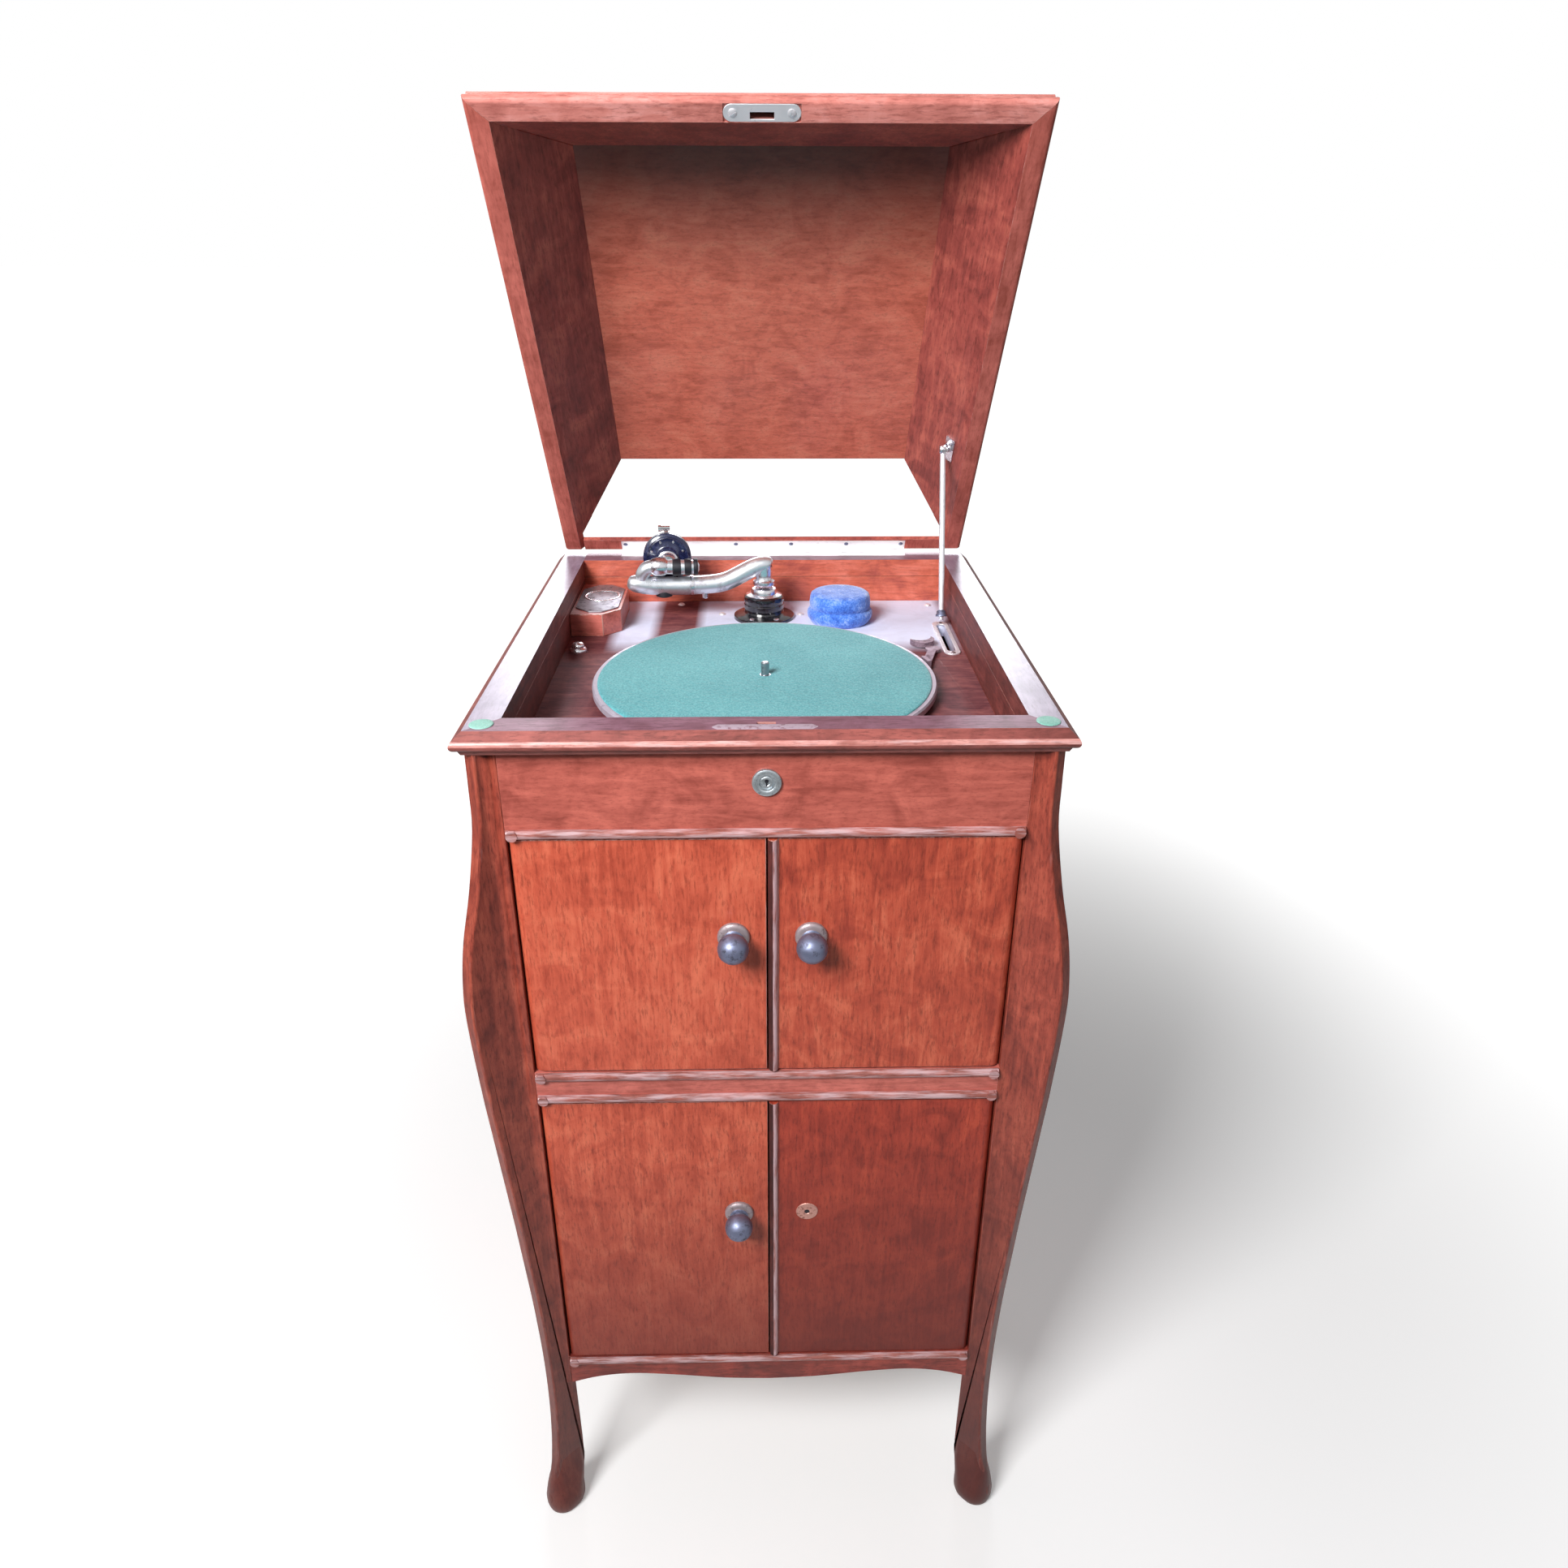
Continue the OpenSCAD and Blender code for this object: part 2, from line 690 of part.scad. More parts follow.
module hinge_rim_leaf() {
    plate_z = [rim_z - leaf_t + touch, rim_z - touch];
    color(nickel) union() {
        block([-leaf_len / 2, leaf_len / 2], [rim_back_y - leaf_w, rim_back_y - 0.3], plate_z);
        knuckle_row(0, plate_z);
        rod_x([-leaf_len / 2 + 1, leaf_len / 2 - 1], hinge_y, hinge_z, hinge_pin_r);
    }
}

module hinge_lid_leaf() {
    plate_z = [lid_z + touch, lid_z + leaf_t - touch];
    color(nickel) opened() difference() {
        union() {
            block([-leaf_len / 2, leaf_len / 2], [rim_back_y - leaf_w, rim_back_y - 0.3], plate_z);
            knuckle_row(1, plate_z);
        }
        rod_x([-leaf_len / 2 - over, leaf_len / 2 + over], hinge_y, hinge_z, hinge_pin_r + run);
    }
}

stay_pivot_y = rim_back_y - stay_s;
stay_pivot_z = lid_z + stay_h;
wall_at_stay = lid_in_x - lean * (stay_h + 1.6);

module stay_bracket() {
    tilt = 180 + atan2(lid_h, lid_inset);
    color(nickel) opened() union() {
        translate([wall_at_stay, stay_pivot_y, stay_pivot_z + 1.6]) rotate([0, tilt, 0]) {
            translate([-6, -14, touch]) cube([11, 28, 1.5]);
            cylinder(r = 4, h = 2.8);
        }
        rod_x([stay_x - 3.5, stay_x + 5], stay_pivot_y, stay_pivot_z, stay_pin_r);
        rod_x([stay_x - 3.5, stay_x - 2], stay_pivot_y, stay_pivot_z, 4);
    }
}

module stay_rod() {
    color(nickel) opened() translate([stay_x, stay_pivot_y, stay_pivot_z]) rotate([lid_open - stay_lean, 0, 0])
        difference() {
            union() {
                rod_x([-1.5, 1.5], 0, 0, 5.4);
                rod_z(0, 0, [-stay_len, -4], stay_r);
                rod_z(0, 0, [-stay_len, -stay_len + 7], 3.4);
            }
            rod_x([-3, 3], 0, 0, stay_pin_r + run);
            block([1.5, 4], [-8, 8], [-12, 8]);
            block([-4, -1.5], [-8, 8], [-12, 8]);
        }
}

module stay_plate() {
    half = 8;
    color(nickel) difference() {
        union() {
            block([stay_x - half, stay_x + half], [plate_y[0] + half, plate_y[1] - half], [board_z, board_z + 1.6]);
            for (y = [plate_y[0] + half, plate_y[1] - half]) rod_z(stay_x, y, [board_z, board_z + 1.6], half);
        }
        block([stay_x - slot_w / 2, stay_x + slot_w / 2], [slot_y[0] + 4, slot_y[1] - 4],
            [board_z - over, board_z + 3]);
        for (y = [slot_y[0] + 4, slot_y[1] - 4]) rod_z(stay_x, y, [board_z - over, board_z + 3], slot_w / 2);
    }
}

// ---- doors ---------------------------------------------------------------------------------

// A door with a round outer edge about its pivot pins; the right-hand ones carry the meeting bead
module door(side, z) {
    inner = side < 0 ? -0.6 : 0.6;
    color(wood) difference() {
        union() {
            block(side < 0 ? [-pivot_x, inner] : [inner, pivot_x], [-half_d, -half_d + door_t], z);
            rod_z(side * pivot_x, pivot_y, z, door_t / 2);
            if (side > 0) intersection() {
                rod_z(4.6, -half_d, z, 4);
                block([0, 9], [-half_d - 5, -half_d + 1], z);
            }
        }
        rod_z(side * pivot_x, pivot_y, [z[0] - over, z[0] + pin_in_door], pivot_r + run);
        rod_z(side * pivot_x, pivot_y, [z[1] - pin_in_door, z[1] + over], pivot_r + run);
    }
}

upper_z = [upper_door_z, upper_door_top];
lower_z = [lower_door_z, lower_door_top];

module door_upper_left() {
    door(-1, upper_z);
}

module door_upper_right() {
    door(1, upper_z);
}

module door_lower_left() {
    door(-1, lower_z);
}

module door_lower_right() {
    door(1, lower_z);
}

module door_pivots() {
    color(steel) for (side = [-1, 1]) {
        rod_z(side * pivot_x, pivot_y, [upper_door_top - pin_in_door + 1, upper_door_top + door_gap + pin_in_rail], pivot_r);
        rod_z(side * pivot_x, pivot_y, [upper_door_z - 2 * door_gap - pin_in_rail, upper_door_z + pin_in_door - 1], pivot_r);
        rod_z(side * pivot_x, pivot_y, [lower_door_top - pin_in_door + 1, lower_door_top + 2 * door_gap + pin_in_rail],
            pivot_r);
        rod_z(side * pivot_x, pivot_y, [lower_door_z - 2 * door_gap - pin_in_rail, lower_door_z + pin_in_door - 1], pivot_r);
    }
}

knob_left_x = -27;
knob_right_x = 35;
upper_knob_z = 713;
lower_knob_z = 411;

module knob(x, z) {
    color("#55565c") translate([x, -half_d - touch, z]) rotate([90, 0, 0]) rotate_extrude() intersection() {
        union() {
            translate([0, 17]) circle(r = knob_r);
            polygon([[0, 0], [13, 0], [13, 1.6], [10, 3.4], [5.5, 4.6], [4.6, 8], [4.6, 14], [0, 14]]);
        }
        translate([0, 0]) square([20, 40]);
    }
}

module knob_upper_left() {
    knob(knob_left_x, upper_knob_z);
}

module knob_upper_right() {
    knob(knob_right_x, upper_knob_z);
}

module knob_lower_left() {
    knob(knob_left_x, lower_knob_z);
}

module knob_plate_lower_right() {
    color(brass) translate([knob_right_x, -half_d - touch, lower_knob_z]) rotate([90, 0, 0]) difference() {
        rotate_extrude() polygon([[0, 0], [10, 0], [10, 0.8], [8.8, 1.8], [0, 1.8]]);
        translate([0, 0, 0.6]) cylinder(r = 2, h = 3);
    }
}

// ---- turntable -----------------------------------------------------------------------------

module platter() {
    hub_r = 14;
    color(nickel) translate([0, platter_y, 0]) rotate_extrude() polygon([
        [spindle_r + 0.02, platter_low + 1], [hub_r, platter_low + 1], [hub_r, platter_top - 3],
        [platter_r - 2.5, platter_top - 3], [platter_r - 2.5, platter_low], [platter_r - 0.8, platter_low],
        [platter_r, platter_low + 1], [platter_r, platter_top - 1.6], [platter_r - 1.2, platter_top],
        [spindle_r + 0.02, platter_top]]);
}

module platter_felt() {
    color(felt) translate([0, platter_y, 0]) rotate_extrude() polygon([
        [spindle_r + free, platter_top + touch], [platter_r - 4, platter_top + touch],
        [platter_r - 4, felt_top - 0.5], [platter_r - 4.6, felt_top], [spindle_r + free, felt_top]]);
}

module spindle() {
    color(steel) translate([0, platter_y, 0]) union() {
        rod_z(0, 0, [lower_plate_z + plate_t + 0.5, felt_top], spindle_r);
        rod_z(0, 0, [felt_top - 1, felt_top + pin_h - 1], pin_r);
        translate([0, 0, felt_top + pin_h - 1]) cylinder(r1 = pin_r, r2 = pin_r - 1, h = 1);
        rod_z(0, 0, [lower_plate_z - 4, lower_plate_z + plate_t + 1], 3);
        translate([0, 0, lower_plate_z + plate_t + 1]) rotate([0, 0, 180 / pinion_teeth])
            linear_extrude(9) gear_outline(pinion_teeth);
        rod_z(0, 0, [governor_z - 2.5, governor_z + 2.5], wheel_r);
    }
}

module motor_frame() {
    pillars = [for (x = [motor_x[0] + 7, motor_x[1] - 7], y = [motor_y[0] + 7, motor_y[1] - 7]) [x, y]];
    color(steel) difference() {
        union() {
            block(motor_x, motor_y, [lower_plate_z, lower_plate_z + plate_t]);
            block(motor_x, motor_y, [upper_plate_z, upper_plate_z + plate_t]);
            for (p = pillars) rod_z(p[0], p[1], [lower_plate_z + 1, board_low], 4);
            for (y = [governor_y[0] + 6, governor_y[1] - 8])
                block([governor_x - 5, governor_x + 5], [y, y + 4], [upper_plate_z + 1, governor_z + 6]);
            block([motor_x[1] - 5, motor_x[1]], [winder_y - 9, winder_y + 9], [lower_plate_z + 1, upper_plate_z + 1]);
            block([motor_x[1] - 28, motor_x[1] - 24], [winder_y - 9, winder_y + 9], [lower_plate_z + 1, upper_plate_z + 1]);
        }
        rod_z(0, platter_y, [lower_plate_z - over, lower_plate_z + plate_t + over], 3 + run);
        rod_z(0, platter_y, [upper_plate_z - over, upper_plate_z + plate_t + over], spindle_r + run);
        for (z = [lower_plate_z, upper_plate_z]) rod_z(barrel_x, platter_y, [z - over, z + plate_t + over], 4 + run);
        rod_y(governor_x, [motor_y[0], motor_y[1]], governor_z, 2 + run);
        rod_x([motor_x[1] - 30, motor_x[1] + over], winder_y, shaft_z, 5 + run);
    }
}

module spring_barrel() {
    drum_r = gear_m * barrel_teeth / 2 - 3;
    color(brass) translate([barrel_x, platter_y, 0]) union() {
        rod_z(0, 0, [lower_plate_z + plate_t + 12, upper_plate_z - 1], drum_r);
        translate([0, 0, lower_plate_z + plate_t + 2]) linear_extrude(7) gear_outline(barrel_teeth);
        rod_z(0, 0, [lower_plate_z + plate_t + 8, lower_plate_z + plate_t + 13], 12);
        rod_z(0, 0, [lower_plate_z - 2, upper_plate_z + plate_t + 2], 4);
    }
}

module governor() {
    weights_y = governor_y[0] + 22;
    color(brass) union() {
        rod_y(governor_x, governor_y, governor_z, 2);
        rod_y(governor_x, [platter_y - 9, platter_y + 9], governor_z, worm_r);
        rod_y(governor_x, [platter_y + 22, platter_y + 24.5], governor_z, 10.5);
        for (end = [-1, 1])
            rod_y(governor_x, [weights_y + end * 6 - 1, weights_y + end * 6 + 1], governor_z, 6.5);
        for (a = [0, 120, 240]) translate([governor_x, weights_y, governor_z]) rotate([0, a, 0]) {
            rod_y(7, [-4, 4], 0, 3);
            rod_y(5.4, [-6, 6], 0, 1);
        }
    }
}

module winding_shaft() {
    end_x = half_w - 2;
    color(steel) difference() {
        union() {
            rod_x([motor_x[1] + 0.5, end_x], winder_y, shaft_z, shaft_r);
            rod_x([motor_x[1] - 30, motor_x[1] + 1], winder_y, shaft_z, 5);
            translate([motor_x[1] - 21, winder_y, shaft_z]) rotate([0, 90, 0]) linear_extrude(12)
                gear_outline(16);
        }
        rod_x([end_x - 20, end_x + over], winder_y, shaft_z, socket_r);
    }
}

module winding_escutcheon() {
    color(nickel) translate([half_w + touch, winder_y, shaft_z]) rotate([0, 90, 0]) rotate_extrude()
        polygon([[shaft_r + 2.5, 0], [18, 0], [18, 0.8], [16, 2], [11, 2.6], [shaft_r + 2.5, 2.6]]);
}

brake_x = platter_r + 10.5;
brake_y = platter_y + 93;
speed_x = -well_x + 14;
speed_y = platter_y + 100;

// A flat lever: a leather pad towards the platter's edge, a crescent thumb piece on the other end
module brake_lever() {
    pad_angle = 18;
    pad_mid = platter_r + 6;
    pad_x = pad_mid * cos(pad_angle);
    pad_y = platter_y + pad_mid * sin(pad_angle);
    heading = atan2(pad_y - brake_y, pad_x - brake_x);
    reach = norm([pad_x - brake_x, pad_y - brake_y]);
    z = board_z + 2;
    color(nickel) union() {
        translate([brake_x, brake_y, z]) {
            cylinder(r = 7, h = 2.4);
            translate([0, 0, -7.5]) cylinder(r = 2.5 - run, h = 8);
            rotate([0, 0, heading]) translate([0, -4, 0]) cube([reach, 8, 2.4]);
            rotate([0, 0, 110]) translate([0, -3, 0]) cube([19, 6, 2.4]);
            rotate([0, 0, 110]) translate([22, 0, 0]) difference() {
                cylinder(r = 12, h = 5);
                translate([8, 0, -1]) cylinder(r = 12, h = 7);
            }
        }
        translate([pad_x, pad_y, z]) rotate([0, 0, pad_angle]) translate([-2, -7, 0]) cube([4, 14, 8]);
    }
}

module speed_knob() {
    color(nickel) translate([speed_x, speed_y, 0]) union() {
        rod_z(0, 0, [board_low - 4, board_z + 1], 2.5);
        translate([0, 0, board_z + free]) rotate_extrude()
            polygon([[0, 0], [7, 0], [7, 1.2], [5.6, 2.2], [5.6, 5.4], [4.8, 6.2], [0, 6.2]]);
        block([-0.6, 0.6], [0, 5.4], [board_z + 6, board_z + 7]);
    }
}

module board_screws() {
    edge_x = well_x - 14;
    edge_y = well_y - 18;
    spots = [[-44.6, arm_y + 9, 0], [39, arm_y + 8, 0], [edge_x - 2, edge_y, 0], [-edge_x, -edge_y, 0],
        [edge_x, -edge_y, 0], [-90, edge_y + 6, 0]];
    on_flange = [for (side = [-1, 1]) [side * (base_r - 5.6), arm_y, 3]];
    color(nickel) for (p = concat(spots, on_flange))
        translate([p[0], p[1], board_z + p[2]]) scale(p[2] > 0 ? 0.62 : 1) difference() {
            cylinder(r1 = 4, r2 = 2.6, h = 1.4);
            translate([-5, -0.45, 0.9]) cube([10, 0.9, 2]);
        }
}

// ---- tonearm -------------------------------------------------------------------------------

module tonearm_base() {
    bore = neck_bore + 1.5;
    color(black) translate([0, arm_y, 0]) rotate_extrude() polygon([[bore, board_z], [base_r, board_z],
        [base_r, board_z + 3.6], [base_r - 1, board_z + 4.6], [base_r - 2, board_z + 4.2],
        [base_r - 2.6, board_z + 3], [cup_r + 2.5, board_z + 3], [cup_r, board_z + 7], [cup_r, cup_top],
        [cup_r - 1.4, cup_top + 4], [neck_bore, cup_top + 4], [neck_bore, cup_top - 18], [bore, cup_top - 18]]);
}

// A place on the parked arm: distance from the base, sideways to the front, height
module along_arm(d, side, z) {
    translate([0, arm_y, z]) rotate([0, 0, arm_dir]) translate([d, side, 0]) children();
}

// A round length of tube between two such places, each with its radius
module tube_between(a, b) {
    hull() {
        along_arm(a[0], a[1], a[2]) sphere(r = a[3], $fn = 28);
        along_arm(b[0], b[1], b[2]) sphere(r = b[3], $fn = 28);
    }
}

// A short cylinder across the arm, from one distance sideways to another
module across_arm(d, side, z, r) {
    along_arm(d, side[0], z) rotate([-90, 0, 0]) cylinder(r = r, h = side[1] - side[0]);
}

flip_r = 8;
flip_pin_r = 2.5;
crook_front = crook_off + 4;

module tonearm() {
    path = [[0, 0, arm_high, arm_r], [12, 0, arm_high - 4, arm_r], [32, 0, arm_low + 4, arm_r], [58, 0, arm_low, arm_r],
        [104, 0, arm_low, arm_r], [flip_at - flip_r, 0, flip_z - 3, arm_r - 1]];
    color(nickel) union() {
        rod_z(0, arm_y, [cup_top - 16, cup_top + 6], neck_r);
        rod_z(0, arm_y, [cup_top + 4 + free, cup_top + 8], neck_r + 4);
        rod_z(0, arm_y, [cup_top + 7, arm_high], arm_r - 0.5);
        for (i = [0 : len(path) - 2]) tube_between(path[i], path[i + 1]);
        across_arm(flip_at, [1 - flip_r, crook_off - 4 - free], flip_z, flip_r);
        across_arm(flip_at, [0, crook_front + 1], flip_z, flip_pin_r);
        along_arm(84, 0, arm_low - arm_r - 3) cylinder(r = 3, h = 6);
    }
}

// The crook turns on the arm's cross pin, in front of the arm, and carries the soundbox behind it
module gooseneck() {
    path = [[flip_at, crook_off, flip_z, 4], [flip_at - 1, crook_off + 2, flip_z + 11, 6],
        [flip_at - 14, crook_off, box_z, 7], [box_at + 4, crook_off - 7, box_z, 7.5],
        [box_at, 0, box_z, 7.5]];
    color(nickel) difference() {
        union() {
            across_arm(flip_at, [crook_off - 4, crook_front], flip_z, 7);
            for (i = [0 : len(path) - 2]) tube_between(path[i], path[i + 1]);
            across_arm(box_at, [-box_off, 0], box_z, 7);
            across_arm(box_at, [-box_off, 3 - box_off], box_z, 11);
        }
        across_arm(flip_at, [-30, 60], flip_z, flip_pin_r + run);
    }
}

// Its back is towards the crook, its diaphragm away from it
module soundbox() {
    color(black) along_arm(box_at, -box_off - touch, box_z) rotate([90, 0, 0]) rotate_extrude() polygon([
        [0, 0], [13, 0], [16, 1.5], [box_r - 3, 3], [box_r, 5], [box_r, box_t - 1], [box_r - 1, box_t],
        [box_r - 4, box_t], [box_r - 5, box_t - 2.5], [0, box_t - 2.5]]);
}

// The stylus bar across the diaphragm, with the needle's socket and its thumb screw on top
module needle_holder() {
    top = box_r + 3;
    color(nickel) along_arm(box_at, -box_off - box_t - 3 * touch, box_z) rotate([90, 0, 0]) union() {
        translate([-2, 0, 0]) cube([4, top, 3]);
        translate([0, 0, touch - 2.5]) cylinder(r = 3, h = 4);
        translate([-4, top, 1.5]) rotate([0, 90, 0]) cylinder(r = 2.6, h = 9);
        translate([5, top, 1.5]) rotate([0, 90, 0]) cylinder(r = 3.6, h = 3);
    }
}

// ---- small things on the board -------------------------------------------------------------

block_y = [well_y - 118, well_y - 12];
block_x = -well_x + 50;
block_h = 23;
bowl_y = well_y - 58;
bowl_x = -well_x + 26;

module needle_block() {
    wall = -well_x + free;
    cut = 17;
    color(wood) difference() {
        translate([0, 0, board_z]) linear_extrude(block_h) polygon([[wall, block_y[0]], [block_x - cut, block_y[0]],
            [block_x, block_y[0] + cut], [block_x, block_y[1] - cut], [block_x - cut, block_y[1]], [wall, block_y[1]]]);
        rod_z(bowl_x, bowl_y, [board_z + 6, board_z + block_h + over], 17);
    }
}

module needle_bowl() {
    top = board_z + block_h + touch;
    color(nickel) translate([bowl_x, bowl_y, top]) rotate_extrude() polygon([[0, -14], [9, -13.2], [15, -8],
        [16.6, -0.4], [16.6, 0], [21, 0], [21, 1], [15.6, 1.2], [13.8, -7.4], [8.2, -12], [0, -12.8]]);
}

module cleaning_pad() {
    color("#2d57b8") translate([79, arm_y - 14, board_z]) rotate_extrude() polygon([[0, 0], [32, 0], [34, 1.5], [34, 9],
        [32.5, 10.5], [31, 12], [31, 15], [33, 17], [33, 27], [31.5, 29.5], [28, 31], [0, 32]]);
}

// ---- all pieces ----------------------------------------------------------------------------

post_front_left();
post_front_right();
back_posts();
side_panel_left();
side_panel_right();
back_panel();
front_top_rail();
front_mid_rail();
front_apron();
front_beads();
top_moulding();
felt_pads();
motor_board();
board_bearers();
horn_roof();
horn_sides();
horn_floor();
horn_throat();
record_dividers();
bottom_board();
lock_case();
lock_plug();
lock_bolt();
hinge_rim_leaf();
door_pivots();
stay_plate();
tonearm_base();
needle_block();
needle_bowl();
cleaning_pad();
motor_frame();
winding_escutcheon();
board_screws();
lid_frame();
lid_sloped_boards();
lid_top_panel();
strike_plate();
hinge_lid_leaf();
stay_bracket();
stay_rod();
door_upper_left();
door_upper_right();
door_lower_left();
door_lower_right();
knob_upper_left();
knob_upper_right();
knob_lower_left();
knob_plate_lower_right();
platter();
platter_felt();
spindle();
spring_barrel();
governor();
winding_shaft();
brake_lever();
speed_knob();
tonearm();
gooseneck();
soundbox();
needle_holder();
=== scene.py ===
import json
from math import cos, pi, radians, sin

import bmesh
import bpy
from mathutils import Matrix, Vector

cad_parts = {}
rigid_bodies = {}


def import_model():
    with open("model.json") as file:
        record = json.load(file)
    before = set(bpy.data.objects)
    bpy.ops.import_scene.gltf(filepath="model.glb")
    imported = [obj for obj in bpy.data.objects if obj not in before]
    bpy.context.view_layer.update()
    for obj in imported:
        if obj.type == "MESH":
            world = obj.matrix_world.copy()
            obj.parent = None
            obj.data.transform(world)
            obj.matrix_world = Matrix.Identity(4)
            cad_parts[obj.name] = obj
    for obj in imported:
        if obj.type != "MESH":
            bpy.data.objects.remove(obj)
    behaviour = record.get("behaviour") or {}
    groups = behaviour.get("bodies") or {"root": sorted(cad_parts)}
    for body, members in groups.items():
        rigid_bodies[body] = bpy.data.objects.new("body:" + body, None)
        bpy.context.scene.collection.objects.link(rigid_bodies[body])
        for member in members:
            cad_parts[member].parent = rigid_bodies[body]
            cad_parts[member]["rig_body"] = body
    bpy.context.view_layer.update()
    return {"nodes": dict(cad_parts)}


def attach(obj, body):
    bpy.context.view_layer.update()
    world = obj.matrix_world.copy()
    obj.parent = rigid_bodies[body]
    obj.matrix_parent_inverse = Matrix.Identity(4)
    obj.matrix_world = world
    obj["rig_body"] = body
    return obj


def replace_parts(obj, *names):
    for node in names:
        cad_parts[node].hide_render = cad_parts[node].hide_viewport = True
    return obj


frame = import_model()
nodes = frame["nodes"]
mm = 0.001

# the photo's own view: place in mm, angles in degrees, lens in mm on a 36 mm square frame
view = {"place": (-3.4, -983.1, 1218.6), "down": 26.37, "turn": 1.25, "roll": 0.16, "lens": 25.755,
        "frame": 36}


def placeCamera():
    down, turn, roll = (radians(view[k]) for k in ("down", "turn", "roll"))
    ahead = Vector((sin(turn) * cos(down), cos(turn) * cos(down), -sin(down)))
    right = Vector((cos(turn), -sin(turn), 0))
    up = right.cross(ahead)
    right, up = right * cos(roll) + up * sin(roll), up * cos(roll) - right * sin(roll)
    data = bpy.data.cameras.new("camera")
    data.lens = view["lens"]
    data.sensor_width = view["frame"]
    data.sensor_fit = "HORIZONTAL"
    data.clip_end = 60
    camera = bpy.data.objects.new("camera", data)
    turned = Matrix((right, up, -ahead)).transposed().to_4x4()
    camera.matrix_world = Matrix.Translation(Vector(view["place"]) * mm) @ turned
    bpy.context.scene.collection.objects.link(camera)
    bpy.context.scene.camera = camera


placeCamera()
print("camera placed")


def linear(hexColour):
    parts = [int(hexColour[i : i + 2], 16) / 255 for i in (1, 3, 5)]
    return [c / 12.92 if c <= 0.04045 else ((c + 0.055) / 1.055) ** 2.4 for c in parts] + [1]


def addNode(tree, kind, sockets=None, stops=(), **settings):
    made = tree.nodes.new(kind)
    for name, value in settings.items():
        setattr(made, name, value)
    for key, value in (sockets or {}).items():
        if isinstance(value, bpy.types.NodeSocket):
            tree.links.new(value, made.inputs[key])
        else:
            made.inputs[key].default_value = value
    for count, (place, colour) in enumerate(stops):  # a ramp's stops, each a place and a colour
        element = made.color_ramp.elements[count] if count < 2 else made.color_ramp.elements.new(place)
        element.position = place
        element.color = linear(colour)
    return made


def startMaterial(name, shaderValues):
    material = bpy.data.materials.new(name)
    material.use_nodes = True
    shader = material.node_tree.nodes["Principled BSDF"]
    for key, value in shaderValues.items():
        shader.inputs[key].default_value = value
    return material, material.node_tree, shader


# Patterns are counted per metre, and the two shares say how much slower they run along the grain
wood = {
    "figure": 150, "figureAlong": 0.09,  # bands 7 mm wide
    "pores": 470, "poresAlong": 0.2,  # flecks 2 mm wide and 10 mm long
    "flame": 26,  # clouds of stain, 40 mm
    "scuffs": 330,  # rubbed patches, 3 mm
    "paintedSheenSoft": (6, 18),  # mm that the painted sheen takes to fade, across and front to back
}


# Painted shade darkens the colour from the height end to the height start, in metres: a leg or a lower door
# to the floor, the lid to its top
def paintShadeByHeight(tree, place, colour, pore, start, end, share):
    height = addNode(tree, "ShaderNodeSeparateXYZ", {"Vector": place}).outputs["Z"]
    low = addNode(tree, "ShaderNodeMapRange", {
        "Value": height, "From Min": start, "From Max": end, "To Min": share, "To Max": 0}).outputs[0]
    return addNode(tree, "ShaderNodeMix", {0: low, 6: colour, 7: linear(pore)}, data_type="RGBA").outputs[2]


# A painted reflection: a milky lilac sheen painted into the colour, in soft-edged fields of x and y in mm,
# broken up by the clouds
def addPaintedSheen(tree, place, flame, colour, fields):
    across = addNode(tree, "ShaderNodeSeparateXYZ", {"Vector": place}).outputs
    softX, softY = wood["paintedSheenSoft"]
    share = 0
    for x0, x1, y0, y1 in fields:
        inside = 1
        for axis, edge, soft in (("X", x0, softX), ("X", x1, -softX), ("Y", y0, softY), ("Y", y1, -softY)):
            ramped = addNode(tree, "ShaderNodeMapRange", {
                "Value": across[axis], "From Min": (edge - soft) * mm,
                "From Max": (edge + soft) * mm}).outputs[0]
            inside = addNode(tree, "ShaderNodeMath", {0: inside, 1: ramped}, operation="MULTIPLY").outputs[0]
        share = addNode(tree, "ShaderNodeMath", {0: share, 1: inside}, operation="ADD").outputs[0]
    broken = addNode(tree, "ShaderNodeMapRange", {
        "Value": flame, "From Min": 0.3, "From Max": 0.7, "To Min": 0.82, "To Max": 1.0}).outputs[0]
    share = addNode(tree, "ShaderNodeMath", {0: share, 1: broken}, operation="MULTIPLY").outputs[0]
    paintedSheenColour = linear("#e2e8ff")
    return addNode(tree, "ShaderNodeMix", {0: share, 6: colour, 7: paintedSheenColour}, data_type="RGBA").outputs[2]


# Pale bare wood, where hands and cloths have rubbed the shellac off; on the beads this paleness is also a
# painted highlight
def paleWearAndHighlight(tree, grain, colour, worn, bare):
    scuff = addNode(tree, "ShaderNodeTexNoise", {
        "Vector": grain, "Scale": wood["scuffs"], "Detail": 4, "Roughness": 0.6}).outputs["Fac"]
    level = 0.66 - 0.34 * worn
    mask = addNode(tree, "ShaderNodeMapRange", {
        "Value": scuff, "From Min": level, "From Max": level + 0.2, "To Max": 0.2 + 0.5 * worn}).outputs[0]
    return addNode(tree, "ShaderNodeMix", {0: mask, 6: colour, 7: linear(bare)}, data_type="RGBA").outputs[2]


